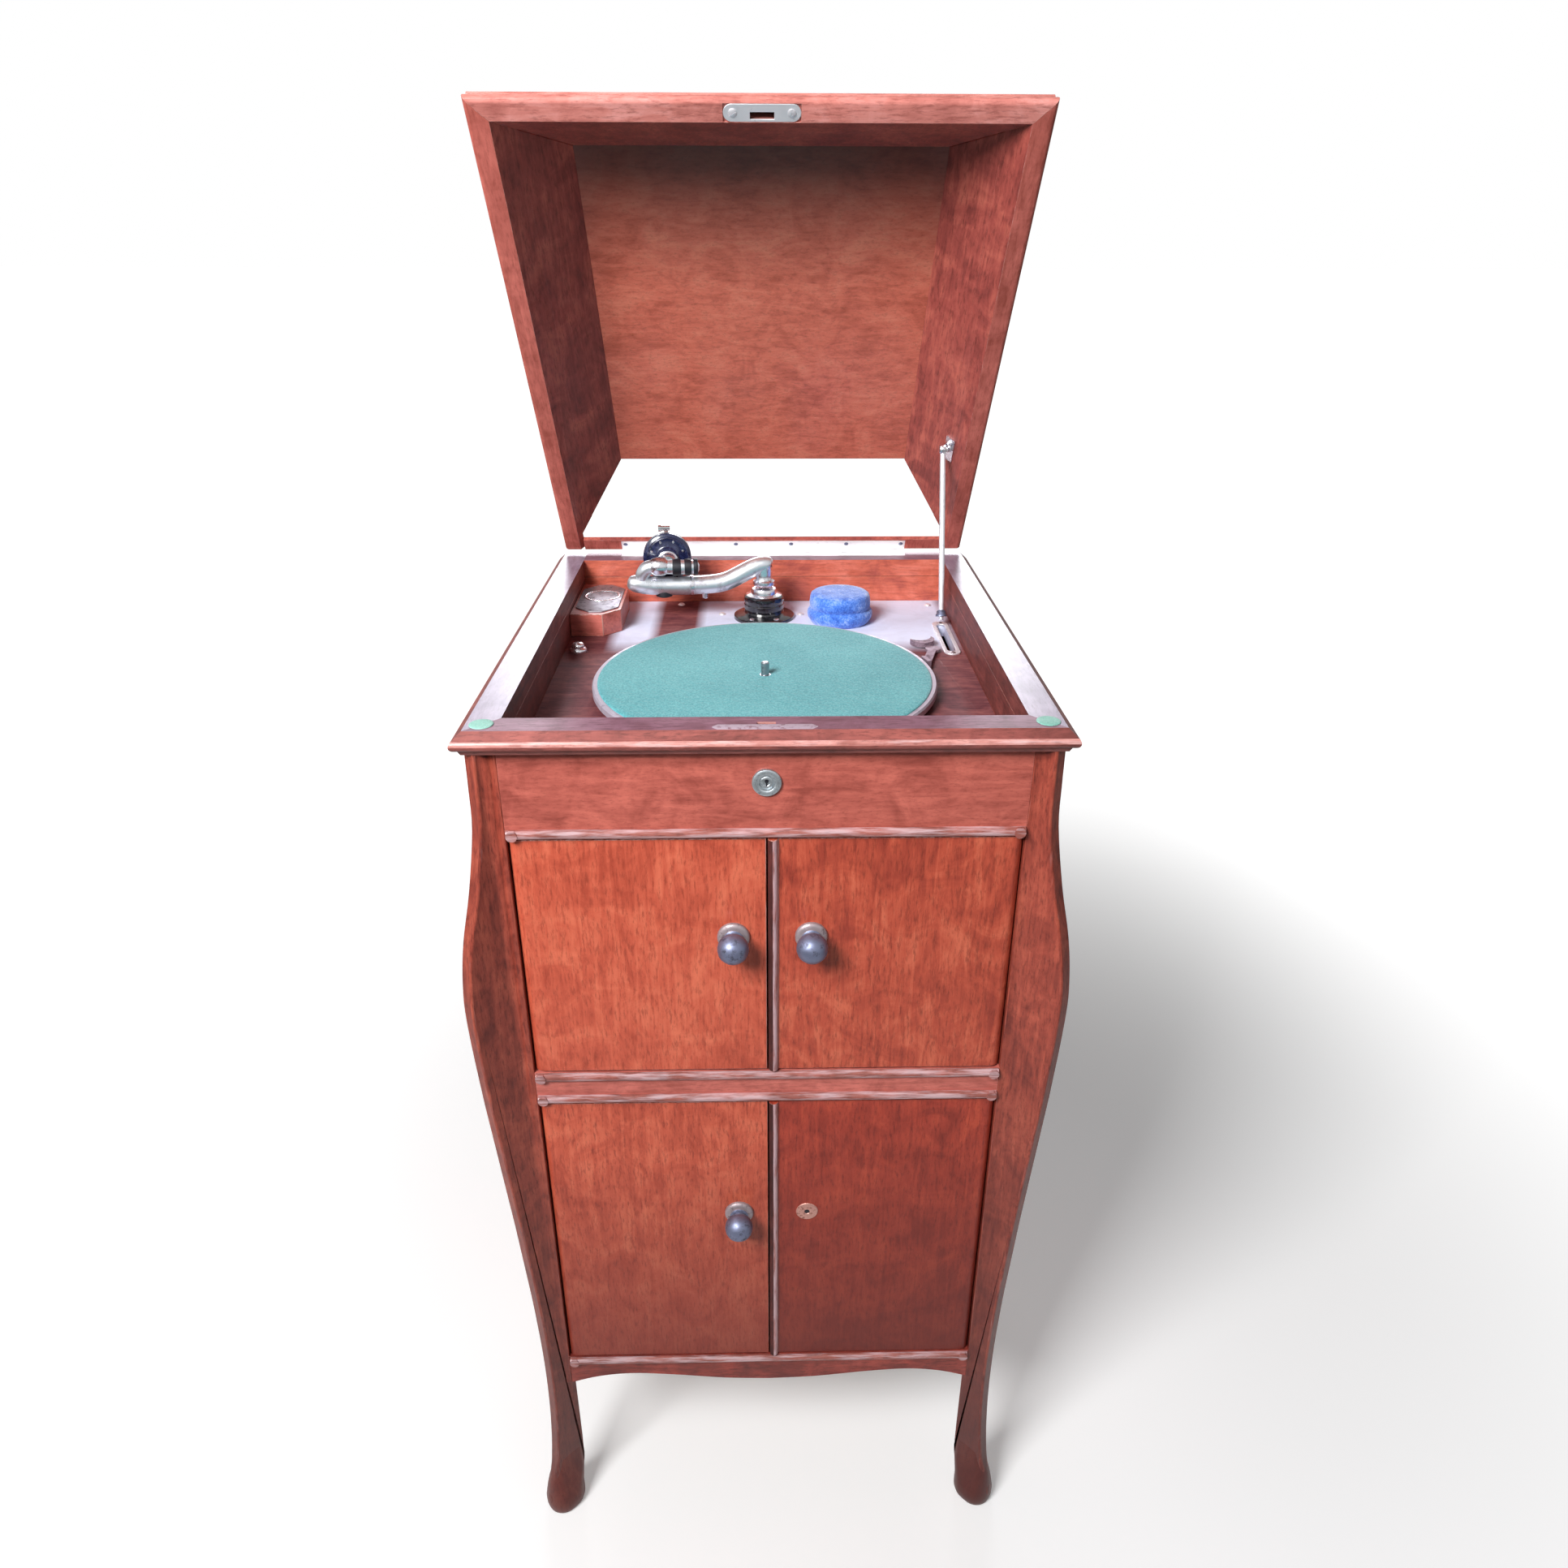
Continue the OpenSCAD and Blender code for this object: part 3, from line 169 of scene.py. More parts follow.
# Stained mahogany under shellac, polished by hand: short dark pores along the grain, a soft broken figure and
# cloudy stain. The tones are its light, middle and dark wood and its pores, and the seed sets one board's
# pattern apart from another's
def mahogany(name, along, tones, seed, tilt=0, coat=0.3, rough=0.42, coatRough=0.2, shine=0.3,
             fleckShare=0.62, stretch=1.0, paintedShade=(), paintedSheen=(), worn=0.0, bare="#dcb4ae"):
    light, mid, dark, pore = tones
    material, tree, shader = startMaterial(name, {
        "Roughness": rough, "Coat Weight": coat, "Coat Roughness": coatRough, "Specular IOR Level": shine})
    place = addNode(tree, "ShaderNodeTexCoord").outputs["Object"]
    shifted = addNode(tree, "ShaderNodeMapping", {
        "Vector": place, "Location": (seed, seed * 0.7, seed * 0.3),
        "Rotation": (radians(tilt), 0, 0)}).outputs["Vector"]
    grain, fleck = (addNode(tree, "ShaderNodeMapping", {
        "Vector": shifted,
        "Scale": [share / stretch if axis == along else 1 for axis in "xyz"]}).outputs["Vector"]
        for share in (wood["figureAlong"], wood["poresAlong"]))
    figure = addNode(tree, "ShaderNodeTexNoise", {
        "Vector": grain, "Scale": wood["figure"], "Detail": 5, "Roughness": 0.65,
        "Distortion": 0.8}).outputs["Fac"]
    flame = addNode(tree, "ShaderNodeTexNoise", {
        "Vector": shifted, "Scale": wood["flame"], "Detail": 5, "Roughness": 0.62,
        "Distortion": 0.9}).outputs["Fac"]
    pores = addNode(tree, "ShaderNodeTexNoise", {
        "Vector": fleck, "Scale": wood["pores"], "Detail": 4, "Roughness": 0.7}).outputs["Fac"]
    mixed = addNode(tree, "ShaderNodeMix", {0: 0.55, 2: figure, 3: flame}, data_type="FLOAT").outputs[0]
    colour = addNode(tree, "ShaderNodeValToRGB", {"Fac": mixed}, stops=[
        (0.38, dark), (0.62, light), (0.5, mid)]).outputs["Color"]
    poreMask = addNode(tree, "ShaderNodeMapRange", {
        "Value": pores, "From Min": 0.5, "From Max": 0.68, "To Max": fleckShare}).outputs[0]
    colour = addNode(tree, "ShaderNodeMix", {
        0: poreMask, 6: colour, 7: linear(pore)}, data_type="RGBA").outputs[2]
    if paintedShade:
        colour = paintShadeByHeight(tree, place, colour, pore, *paintedShade)
    if paintedSheen:
        colour = addPaintedSheen(tree, place, flame, colour, paintedSheen)
    if worn:
        colour = paleWearAndHighlight(tree, grain, colour, worn, bare)
    tree.links.new(colour, shader.inputs["Base Color"])
    relief = addNode(tree, "ShaderNodeMath", {0: pores, 1: flame}, operation="ADD").outputs[0]
    bump = addNode(tree, "ShaderNodeBump", {"Height": relief, "Strength": 0.2, "Distance": 0.0005})
    tree.links.new(bump.outputs["Normal"], shader.inputs["Normal"])
    return material


# A plated or bare surface with its own tarnish: clean in most places, duller in clouds, so many to the metre
def tarnished(name, bright, dull, rough=0.3, metallic=1.0, clouds=120, amount=0.5, bump=0.05):
    material, tree, shader = startMaterial(name, {"Metallic": metallic})
    place = addNode(tree, "ShaderNodeTexCoord").outputs["Object"]
    tarnish = addNode(tree, "ShaderNodeTexNoise", {
        "Vector": place, "Scale": clouds, "Detail": 6, "Roughness": 0.66}).outputs["Fac"]
    marks = addNode(tree, "ShaderNodeTexNoise", {
        "Vector": place, "Scale": clouds * 9, "Detail": 2}).outputs["Fac"]
    colour = addNode(tree, "ShaderNodeValToRGB", {"Fac": tarnish}, stops=[
        (0.22 + 0.2 * amount, dull), (0.34 + 0.26 * amount, bright)]).outputs["Color"]
    tree.links.new(colour, shader.inputs["Base Color"])
    roughness = addNode(tree, "ShaderNodeMapRange", {
        "Value": tarnish, "From Min": 0.3, "From Max": 0.7, "To Min": rough * 1.5, "To Max": rough * 0.75})
    tree.links.new(roughness.outputs[0], shader.inputs["Roughness"])
    rise = addNode(tree, "ShaderNodeBump", {"Height": marks, "Strength": bump, "Distance": 0.0002})
    tree.links.new(rise.outputs["Normal"], shader.inputs["Normal"])
    return material


# Cloth with a pile: matted fibres, slow patches where it is worn, and a soft sheen. Real fibres are finer
# than the render shows, so they are drawn 1 to 2 mm apart
def pile(name, deep, tone, high, fibres=1100, patches=16, sheen=0.3, share=0.5, depth=0.0006):
    material, tree, shader = startMaterial(name, {
        "Roughness": 0.95, "Specular IOR Level": 0.1, "Sheen Weight": sheen, "Sheen Roughness": 0.5})
    place = addNode(tree, "ShaderNodeTexCoord").outputs["Object"]
    fine = addNode(tree, "ShaderNodeTexNoise", {
        "Vector": place, "Scale": fibres, "Detail": 4, "Roughness": 0.75}).outputs["Fac"]
    worn = addNode(tree, "ShaderNodeTexNoise", {
        "Vector": place, "Scale": patches, "Detail": 5, "Roughness": 0.65}).outputs["Fac"]
    lint = addNode(tree, "ShaderNodeTexVoronoi", {
        "Vector": place, "Scale": fibres * 0.4}, feature="F1").outputs["Distance"]
    both = addNode(tree, "ShaderNodeMix", {0: share, 2: fine, 3: worn}, data_type="FLOAT").outputs[0]
    colour = addNode(tree, "ShaderNodeValToRGB", {"Fac": both}, stops=[
        (0.36, deep), (0.66, high), (0.5, tone)]).outputs["Color"]
    tree.links.new(colour, shader.inputs["Base Color"])
    height = addNode(tree, "ShaderNodeMath", {0: fine, 1: lint}, operation="ADD").outputs[0]
    bump = addNode(tree, "ShaderNodeBump", {"Height": height, "Strength": 0.5, "Distance": depth})
    tree.links.new(bump.outputs["Normal"], shader.inputs["Normal"])
    return material


# A dark gloss with grey dust lying on it in 4 mm clouds: enamel and lacquer, and rubber where there's no coat
def dustyGloss(name, tone, dusty="#4a4a56", rough=0.16, coat=0.8):
    material, tree, shader = startMaterial(name, {"Coat Weight": coat, "Coat Roughness": 0.06})
    place = addNode(tree, "ShaderNodeTexCoord").outputs["Object"]
    dust = addNode(tree, "ShaderNodeTexNoise", {
        "Vector": place, "Scale": 240, "Detail": 5, "Roughness": 0.7}).outputs["Fac"]
    colour = addNode(tree, "ShaderNodeValToRGB", {"Fac": dust}, stops=[
        (0.5, tone), (0.8, dusty)]).outputs["Color"]
    tree.links.new(colour, shader.inputs["Base Color"])
    roughness = addNode(tree, "ShaderNodeMapRange", {
        "Value": dust, "To Min": rough * 0.6, "To Max": rough * 2})
    tree.links.new(roughness.outputs[0], shader.inputs["Roughness"])
    return material


lidTilt = 55.4  # degrees that the lid stands open, which the grain of its boards follows
doorTones = ("#d46c50", "#c35840", "#a94531", "#7f3021")
rightTones = ("#cc664b", "#b64e38", "#963a2b", "#6a281d")
railTones = ("#d4766a", "#c0675c", "#a35247", "#7d372e")
postTones = ("#ae5542", "#944234", "#733027", "#4a1a16")
looks = {
    # the front, with painted shade: darker to the right and towards the floor, where less light reaches
    "doorLeft": mahogany("mahogany_door_left", "z", doorTones, 0.3),
    "doorRight": mahogany("mahogany_door_right_painted_shade", "z", rightTones, 1.7),
    "doorLowLeft": mahogany("mahogany_low_door_left_painted_shade", "z", (*doorTones[:3], "#6c241c"), 2.9, coat=0.15,
                            paintedShade=(0.2, 0.48, 0.8)),
    "doorLowRight": mahogany("mahogany_low_door_right_painted_shade", "z", ("#b84a34", "#a33c2c", "#872f23", "#5a1c16"),
                             4.1, coat=0.1, paintedShade=(0.2, 0.52, 0.8)),
    "rail": mahogany("mahogany_rail", "x", railTones, 0.9, fleckShare=0.42),
    "topRail": mahogany("mahogany_top_rail", "x", ("#c66a5c", "#b05a4e", "#93463c", "#6c2f27"), 1.1,
                        fleckShare=0.4, stretch=0.6),
    "post": mahogany("mahogany_post", "z", postTones, 5.2, coat=0.18, paintedShade=(0.0, 0.5, 0.75)),
    "postRight": mahogany("mahogany_post_right_painted_shade", "z", postTones, 6.7, coat=0.18, paintedShade=(0.0, 0.62, 0.96)),
    "postEdge": mahogany("mahogany_post_arris", "z", postTones, 3.9, coat=0.18, worn=0.3, bare="#a98582",
                         paintedShade=(0.0, 0.5, 0.7)),
    "apron": mahogany("mahogany_apron", "x", ("#a4463a", "#85362d", "#692a24", "#4a1d19"), 5.9, coat=0.15),
    "block": mahogany("mahogany_needle_block", "x", railTones, 8.3, coat=0.6, fleckShare=0.42),
    "side": mahogany("mahogany_side", "z", rightTones, 6.4),
    # the rim, handled for years: its lilac-grey and mauve tones are a painted sheen, a reflection on the
    # shellac, and the bead is rubbed bright
    "rim": mahogany("mahogany_rim", "y", ("#a596ab", "#918298", "#7b6b81", "#5d4758"), 7.7, coat=0.75,
                    rough=0.4, coatRough=0.28),
    "rimFront": mahogany("mahogany_rim_front_painted_sheen", "x", ("#9a7282", "#876070", "#6f4955", "#52323c"), 8.8,
                         coat=0.15, rough=0.45, coatRough=0.3),
    "rimBand": mahogany("mahogany_rim_slope", "x", ("#a55a52", "#8d4a44", "#713833", "#4c2422"), 1.9,
                        coat=0.4, coatRough=0.25),
    "rimWearAndHighlight": mahogany("mahogany_rim_edge_worn_and_highlight", "x", ("#d99c94", "#c98880", "#a9675f", "#7c4640"), 2.2, coat=0.5,
                        coatRough=0.25, worn=0.5, bare="#ecd4d6"),
    # the motor board and the walls round it, dull and dark, the walls with painted shade; a painted sheen
    # lies in two fields at the board's back
    "board": mahogany("mahogany_motor_board_painted_sheen", "x", ("#8f5553", "#784346", "#5f3238", "#42222a"), 9.1,
                      coat=0.03, rough=0.6, shine=0.14, paintedSheen=[(-152, -112, 66, 260), (-66, 190, 66, 260)]),
    "well": mahogany("mahogany_well_wall_painted_shade", "y", ("#8a4741", "#713631", "#552722", "#3c1c1b"), 9.9, coat=0.06,
                     rough=0.55, coatRough=0.3),
    "wellBack": mahogany("mahogany_well_back", "x", ("#dc7d6a", "#c7654f", "#a44f43", "#7a352d"), 15.2,
                         fleckShare=0.4),
    # the lid: a bright panel with a painted shadow that darkens it to its top, duller boards, and a matt
    # outside
    "lidPanel": mahogany("mahogany_lid_panel_painted_shadow", "x", ("#e3836a", "#d8715b", "#bd5d48", "#3a1a15"), 10.3,
                         lidTilt, paintedShade=(1.285, 1.17, 0.9), fleckShare=0.25, stretch=0.35),
    "lidTop": mahogany("mahogany_lid_outside", "x", ("#cf6f5a", "#b95b49", "#994839", "#6c2e25"), 16.1,
                       lidTilt, coat=0.0, rough=0.68, shine=0.1),
    "lidBoards": mahogany("mahogany_lid_boards", "y", ("#be6354", "#a34d44", "#823a35", "#5a2522"), 11.6,
                          lidTilt),
    "lidFrame": mahogany("mahogany_lid_frame", "y", railTones, 12.2, lidTilt, coat=0.08, rough=0.6,
                         shine=0.12, fleckShare=0.42),
    "lidStrip": mahogany("mahogany_lid_strip", "x", ("#e29a92", "#d28379", "#b86c63", "#8f4a42"), 12.9,
                         lidTilt, coat=0.12, rough=0.55, shine=0.15),
    # edges and beads that hands and dusters have worn pale, the rail beads also painted pale as a highlight,
    # and painted shade in the gap beside them
    "worn": mahogany("mahogany_rubbed_edge", "z", ("#b9705e", "#a15b4b", "#86483c", "#5f2a24"), 3.3,
                     worn=0.7),
    "bead": mahogany("mahogany_rubbed_bead_and_highlight", "x", ("#a8645c", "#97574e", "#7d463f", "#552d29"), 4.4,
                     worn=0.72, bare="#dcc2c8"),
    "beadUpright": mahogany("mahogany_meeting_bead", "z", ("#b87c78", "#a76c68", "#8a5451", "#5c3432"), 4.9,
                            coat=0.4, worn=0.9, bare="#d8bcc4"),
    # painted shade for the meeting bead's gap and the bolt's mortise
    "paintedGapShade": mahogany("mahogany_painted_gap_shade", "z", ("#5c2a26", "#47201e", "#351817", "#241110"), 7.1, coat=0.0,
                     rough=0.6),
    # wood that was never polished
    "plain": mahogany("mahogany_back", "z", ("#a8644c", "#945440", "#7c4434", "#54281d"), 13.1, coat=0.1,
                      rough=0.55),
    "inner": mahogany("stained_inner_wood", "y", ("#a8805f", "#967052", "#806046", "#5a3d2a"), 14.0, coat=0.0,
                      rough=0.7),
    # nickel plate: bright where it is wiped, milky on the arm, dull on screws, brushed on the plates
    "nickel": tarnished("nickel_plate", "#e9e8ee", "#b4b0b4", 0.22, amount=0.4),
    "nickelArm": tarnished("nickel_plate_milky", "#dde1e7", "#a39da5", 0.31, metallic=0.9, clouds=60),
    "nickelDull": tarnished("nickel_plate_dull", "#cfccd0", "#8f8a8c", 0.32),
    "nickelSatin": tarnished("nickel_plate_satin", "#eeedf2", "#c6c3ca", 0.42, metallic=0.7, amount=0.3),
    "needlePlate": tarnished("needle_plate_metal", "#a3a0a9", "#6b666a", 0.42, clouds=200, bump=0.1),
    "hinge": tarnished("hinge_satin_nickel", "#f4f3f5", "#d6d3d6", 0.5, clouds=60, amount=0.2, bump=0.02),
    "brake": tarnished("brake_lever_nickel", "#9c8896", "#65505c", 0.5, metallic=0.6),  # brown with age
    "platterRim": tarnished("platter_rim_nickel", "#bab2c0", "#968c9b", 0.42, metallic=0.35, amount=0.3),
    # other metals, mottled where their finish has gone
    "knob": tarnished("knob_worn_iron", "#7d839d", "#4f4f5e", 0.42, metallic=0.75, clouds=160, bump=0.12),
    "knobRose": tarnished("knob_rose_worn", "#a89a9e", "#74666a", 0.44, metallic=0.6, clouds=260, bump=0.12),
    "steel": tarnished("oiled_steel", "#a4a7ad", "#6b696a", 0.36, bump=0.1),
    "brass": tarnished("aged_brass", "#c9a86a", "#8a6a44", 0.34, bump=0.1),
    "plate": tarnished("knob_plate_bronze", "#dba89c", "#a0685c", 0.4, clouds=400, bump=0.15),
    "lock": tarnished("lock_white_metal", "#c6ced3", "#828b92", 0.4, clouds=320, bump=0.12),
    "iron": tarnished("painted_horn_iron", "#3a3b3f", "#202124", 0.5, metallic=0.5, bump=0.2),
    # a patch of the front rim worn matt and mottled
    "mark": tarnished("worn_transfer", "#b5a2b0", "#87666f", 0.5, metallic=0.0, clouds=260, amount=0.6),
    "enamel": dustyGloss("black_stove_enamel", "#0c0c12"),
    "boxBack": dustyGloss("soundbox_black_lacquer", "#141a3c", dusty="#3a4168", rough=0.2),  # a bluish black
    "rubber": dustyGloss("black_rubber", "#14141c", dusty="#2c2c36", rough=0.4, coat=0.0),
    "felt": pile("turntable_wool_felt", "#37858d", "#55a3aa", "#79c2c4", fibres=620, patches=9, share=0.25),
    "padFelt": pile("rim_pad_felt", "#6fae9f", "#8ec4b6", "#aad8cb", patches=60),
    "plush": pile("blue_plush", "#284fb6", "#5487e4", "#b4cbfb", fibres=520, patches=70, sheen=0.5,
                  depth=0.001),
}
print("materials made")


def addPiece(name, mesh, node, pieceLooks, smooth=32):
    piece = bpy.data.objects.new(name, mesh)
    bpy.context.scene.collection.objects.link(piece)
    for look in pieceLooks:
        mesh.materials.append(looks[look])
    mesh.shade_smooth()
    mesh.set_sharp_from_angle(angle=radians(smooth))
    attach(piece, nodes[node]["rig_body"])
    return piece


def finishMesh(bm, name):
    bmesh.ops.remove_doubles(bm, verts=bm.verts, dist=0.000005)
    bmesh.ops.recalc_face_normals(bm, faces=bm.faces)
    mesh = bpy.data.meshes.new(name)
    bm.to_mesh(mesh)
    bm.free()
    return mesh


# nodes that keep the CAD's own mesh, most of them inside or small
keptLooks = {
    "board_bearers": "inner", "horn_roof": "inner", "horn_sides": "inner", "horn_floor": "inner",
    "record_dividers": "inner", "bottom_board": "inner", "horn_throat": "iron",
    "lock_case": "lock", "lock_plug": "lock", "lock_bolt": "brass",
    "hinge_rim_leaf": "hinge", "hinge_lid_leaf": "hinge", "door_pivots": "steel",
    "motor_frame": "steel", "spindle": "steel", "winding_shaft": "steel", "spring_barrel": "brass",
    "governor": "brass", "platter": "platterRim", "brake_lever": "brake", "board_screws": "nickelSatin",
}
for name, look in keptLooks.items():
    data = nodes[name].data
    data.materials.clear()
    data.materials.append(looks[look])
print("kept nodes coloured")

lidPivot = Vector((0, 251.9, 895.6))
lidTurn = Matrix.Rotation(radians(-lidTilt), 3, "X")


def onLid(place):  # a place given with the lid shut, carried up with it
    return tuple(lidTurn @ (Vector(place) - lidPivot) + lidPivot)


# Each pick below says which look a face takes from its middle in mm and its normal, if not its piece's own
wellFloor = 849  # above this height a wall that faces inwards belongs to the well round the motor board, whose side walls are painted darker as shade


def looksInward(middle, normal):
    return normal.x * middle.x + normal.y * middle.y < -100


def pickSideWall(middle, normal):
    return "well" if middle.z > wellFloor and looksInward(middle, normal) else None


def pickBackWall(middle, normal):
    return "wellBack" if middle.z > wellFloor and looksInward(middle, normal) else None


rim = {"mitre": 21, "flat": 894.5, "bead": (885.5, 889.2), "backWall": 200}


def pickRim(middle, normal):
    if looksInward(middle, normal):
        return "wellBack" if middle.y > rim["backWall"] else "well"
    if middle.z < rim["flat"]:  # the slope and the bead: a painted highlight on the bead's upper half, painted shade on its lower half
        return "rimWearAndHighlight" if rim["bead"][0] < middle.z < rim["bead"][1] else "rimBand"
    return "rimFront" if abs(middle.y) - abs(middle.x) > rim["mitre"] else None


meetingBead = {"edge": 9.5, "paintedShadeEdge": 4.2, "front": -236.1}  # the half round that covers the doors' gap; faces left of its shade edge are painted dark as the gap's shade


def pickMeetingBead(middle, normal):
    if middle.x > meetingBead["edge"] or middle.y > meetingBead["front"]:
        return None
    return "beadUpright" if middle.x > meetingBead["paintedShadeEdge"] else "paintedGapShade"


def pickOutside(middle, normal):
    return "lidTop" if normal.dot(lidTurn @ Vector((0, 0, 1))) > 0.5 else None


# the lid's frame with the lid shut: where its front length starts, its mitre and the bolt's mortise, which is
# painted dark as shade
lidFrame = {"front": -224, "mitre": 202, "centre": 12, "mortise": (9.1, -233, 4),
            "mortiseHeight": (897.6, 910.5)}


def pickLidFrame(middle, normal):
    closed = lidTurn.inverted() @ (middle - lidPivot) + lidPivot
    turned = lidTurn.inverted() @ normal
    half, behind, deep = lidFrame["mortise"]
    low, high = lidFrame["mortiseHeight"]
    if abs(closed.x) < half and low < closed.z < high and abs(closed.y - behind) < deep:
        return "paintedGapShade"
    inward = turned.x * closed.x + turned.y * (closed.y - lidFrame["centre"])
    if inward < -20 and abs(turned.z) < 0.8:  # the inner walls take the boards' darker look as painted shade
        return "lidBoards"
    return "lidStrip" if closed.y < lidFrame["front"] - max(0, abs(closed.x) - lidFrame["mitre"]) else None


# Each node's look and edge radius in mm, with worn edges unless another look is named. More holds further
# looks, pick gives them to single faces, and cut is a height where faces are parted first
woodPieces = {
    "side_panel_left": {"look": "side", "radius": 0.6, "more": ["well"], "pick": pickSideWall,
                        "cut": wellFloor},
    "side_panel_right": {"look": "side", "radius": 0.6, "more": ["well"], "pick": pickSideWall,
                         "cut": wellFloor},
    "back_panel": {"look": "plain", "radius": 0.6, "edge": "plain", "more": ["wellBack"],
                   "pick": pickBackWall, "cut": wellFloor},
    "front_top_rail": {"look": "topRail", "radius": 0.5},
    "front_mid_rail": {"look": "rail", "radius": 0.5},
    "front_apron": {"look": "apron", "radius": 1.0},
    "front_beads": {"look": "bead", "radius": 0.3, "edge": "bead"},
    "top_moulding": {"look": "rim", "radius": 0.7, "edge": "rimWearAndHighlight",
                     "more": ["rimFront", "wellBack", "well", "rimBand"], "pick": pickRim},
    "motor_board": {"look": "board", "radius": 0.5, "edge": "board"},
    "door_upper_left": {"look": "doorLeft", "radius": 0.7},
    "door_upper_right": {"look": "doorRight", "radius": 0.7, "more": ["beadUpright", "paintedGapShade"],
                         "pick": pickMeetingBead},
    "door_lower_left": {"look": "doorLowLeft", "radius": 0.7},
    "door_lower_right": {"look": "doorLowRight", "radius": 0.7, "more": ["beadUpright", "paintedGapShade"],
                         "pick": pickMeetingBead},
    "lid_frame": {"look": "lidFrame", "radius": 0.7, "more": ["lidStrip", "lidBoards", "paintedGapShade"],
                  "pick": pickLidFrame},
    "lid_sloped_boards": {"look": "lidBoards", "radius": 0.6, "edge": "lidBoards"},
    "lid_top_panel": {"look": "lidPanel", "radius": 1.2, "more": ["lidTop"], "pick": pickOutside},
    "needle_block": {"look": "block", "radius": 0.8},
    "post_front_left": {"look": "post", "radius": 5.8, "edge": "postEdge", "leg": True},
    "post_front_right": {"look": "postRight", "radius": 5.8, "edge": "postEdge", "leg": True},
    "back_posts": {"look": "post", "radius": 5.8, "edge": "postEdge", "leg": True},
}
# metal plates that keep the CAD's shape, with their edges eased
platePieces = {
    "winding_escutcheon": {"look": "nickel", "radius": 0.5, "edge": "nickel"},
    "strike_plate": {"look": "nickelSatin", "radius": 0.35, "edge": "nickelSatin"},
    "stay_bracket": {"look": "nickel", "radius": 0.5, "edge": "nickel"},
    "stay_plate": {"look": "nickelSatin", "radius": 0.4, "edge": "nickelSatin"},
}
legs = {  # in mm
    "corner": (213, 236),  # where a leg's middle stands
    "centre": 317.5,  # the same, measured out from the cabinet's middle along the diagonal
    "end": 45, "beyond": 8, "drawnIn": 6,  # below this height the outer end goes in under the round toe
    "fin": (204.5, 227.5),  # a fin's outer arris lies beyond these
    "toe": 30, "bow": 80,  # its rounding is full below the toe's height, and fades over the bow's
    "hollow": 0.12, "side": 0.16, "sole": 0.5, "shoulder": 0.34,  # shares of the posts' edge radius
}


def drawInLegs(bm):
    for v in bm.verts:
        out = Vector((1 if v.co.x > 0 else -1, 1 if v.co.y > 0 else -1, 0)).normalized()
        height = v.co.z / mm
        if height < legs["end"] and v.co.dot(out) / mm - legs["centre"] > legs["beyond"]:
            v.co -= out * legs["drawnIn"] * mm * (1 - height / legs["end"])
    bm.normal_update()


# The posts' fins are sharp at the shoulder, rounder down the bow and nearly half round at the toe;
# the upright hollow beside the stile stays crisp
def edgeShare(edge):
    middle = (edge.verts[0].co + edge.verts[1].co) / 2 / mm
    upright = abs((edge.verts[0].co - edge.verts[1].co).normalized().z) > 0.5
    if len(edge.link_faces) != 2 or edge.calc_face_angle(0) < radians(20):
        return 0
    if edge.calc_face_angle_signed(0) < 0:
        return 0 if upright else legs["hollow"]
    if not upright or abs(middle.x) <= legs["fin"][0] or abs(middle.y) <= legs["fin"][1]:
        return legs["sole"] if middle.z < legs["toe"] else legs["side"]
    return min(max(1.0 - (middle.z - legs["toe"]) / legs["bow"], legs["shoulder"]), 1.0)


def easeEdges(node, look, radius, edge="worn", more=(), pick=None, cut=None, leg=False):
    bm = bmesh.new()
    bm.from_mesh(nodes[node].data)
    bmesh.ops.remove_doubles(bm, verts=bm.verts, dist=0.00001)
    bmesh.ops.dissolve_limit(bm, angle_limit=radians(0.5), verts=bm.verts, edges=bm.edges)
    if cut:
        whole = bm.verts[:] + bm.edges[:] + bm.faces[:]
        bmesh.ops.bisect_plane(bm, geom=whole, plane_co=(0, 0, cut * mm), plane_no=(0, 0, 1))
    pieceLooks = [look, edge, *more]
    if pick:
        for face in bm.faces:
            picked = pick(face.calc_center_median() / mm, face.normal)
            face.material_index = pieceLooks.index(picked or look)
    if leg:
        drawInLegs(bm)
        share = bm.edges.layers.float.new("bevel_weight_edge")
        for side in bm.edges:
            side[share] = edgeShare(side)
    mesh = bpy.data.meshes.new("eased_" + node)
    bm.to_mesh(mesh)
    bm.free()
    piece = addPiece("eased_" + node, mesh, node, pieceLooks, smooth=35)
    eased = piece.modifiers.new("eased", "BEVEL")
    eased.width = radius * mm
    eased.segments = 6 if leg else 3
    eased.limit_method = "WEIGHT" if leg else "ANGLE"
    eased.angle_limit = radians(35)
    eased.material = 1
    eased.use_clamp_overlap = not leg
    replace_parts(piece, node)


for name, settings in {**woodPieces, **platePieces}.items():
    easeEdges(name, **settings)
print("wooden pieces and plates eased")


# The toe of each leg swells into a round pad set on the diagonal: rings bridged upwards, each given as its
# height, its middle out from the corner, and half its length and width
toeRings = ((0, 7, 17.2, 14.5), (2, 6.8, 19.2, 16.6), (7, 6.6, 20.4, 18), (14, 6.6, 20.6, 18),
            (22, 6, 20, 16.4), (32, 4.4, 20.2, 13.6), (45, 2, 20, 10.4), (60, -0.4, 17.2, 7.6),
            (80, -2, 14.6, 5.8))


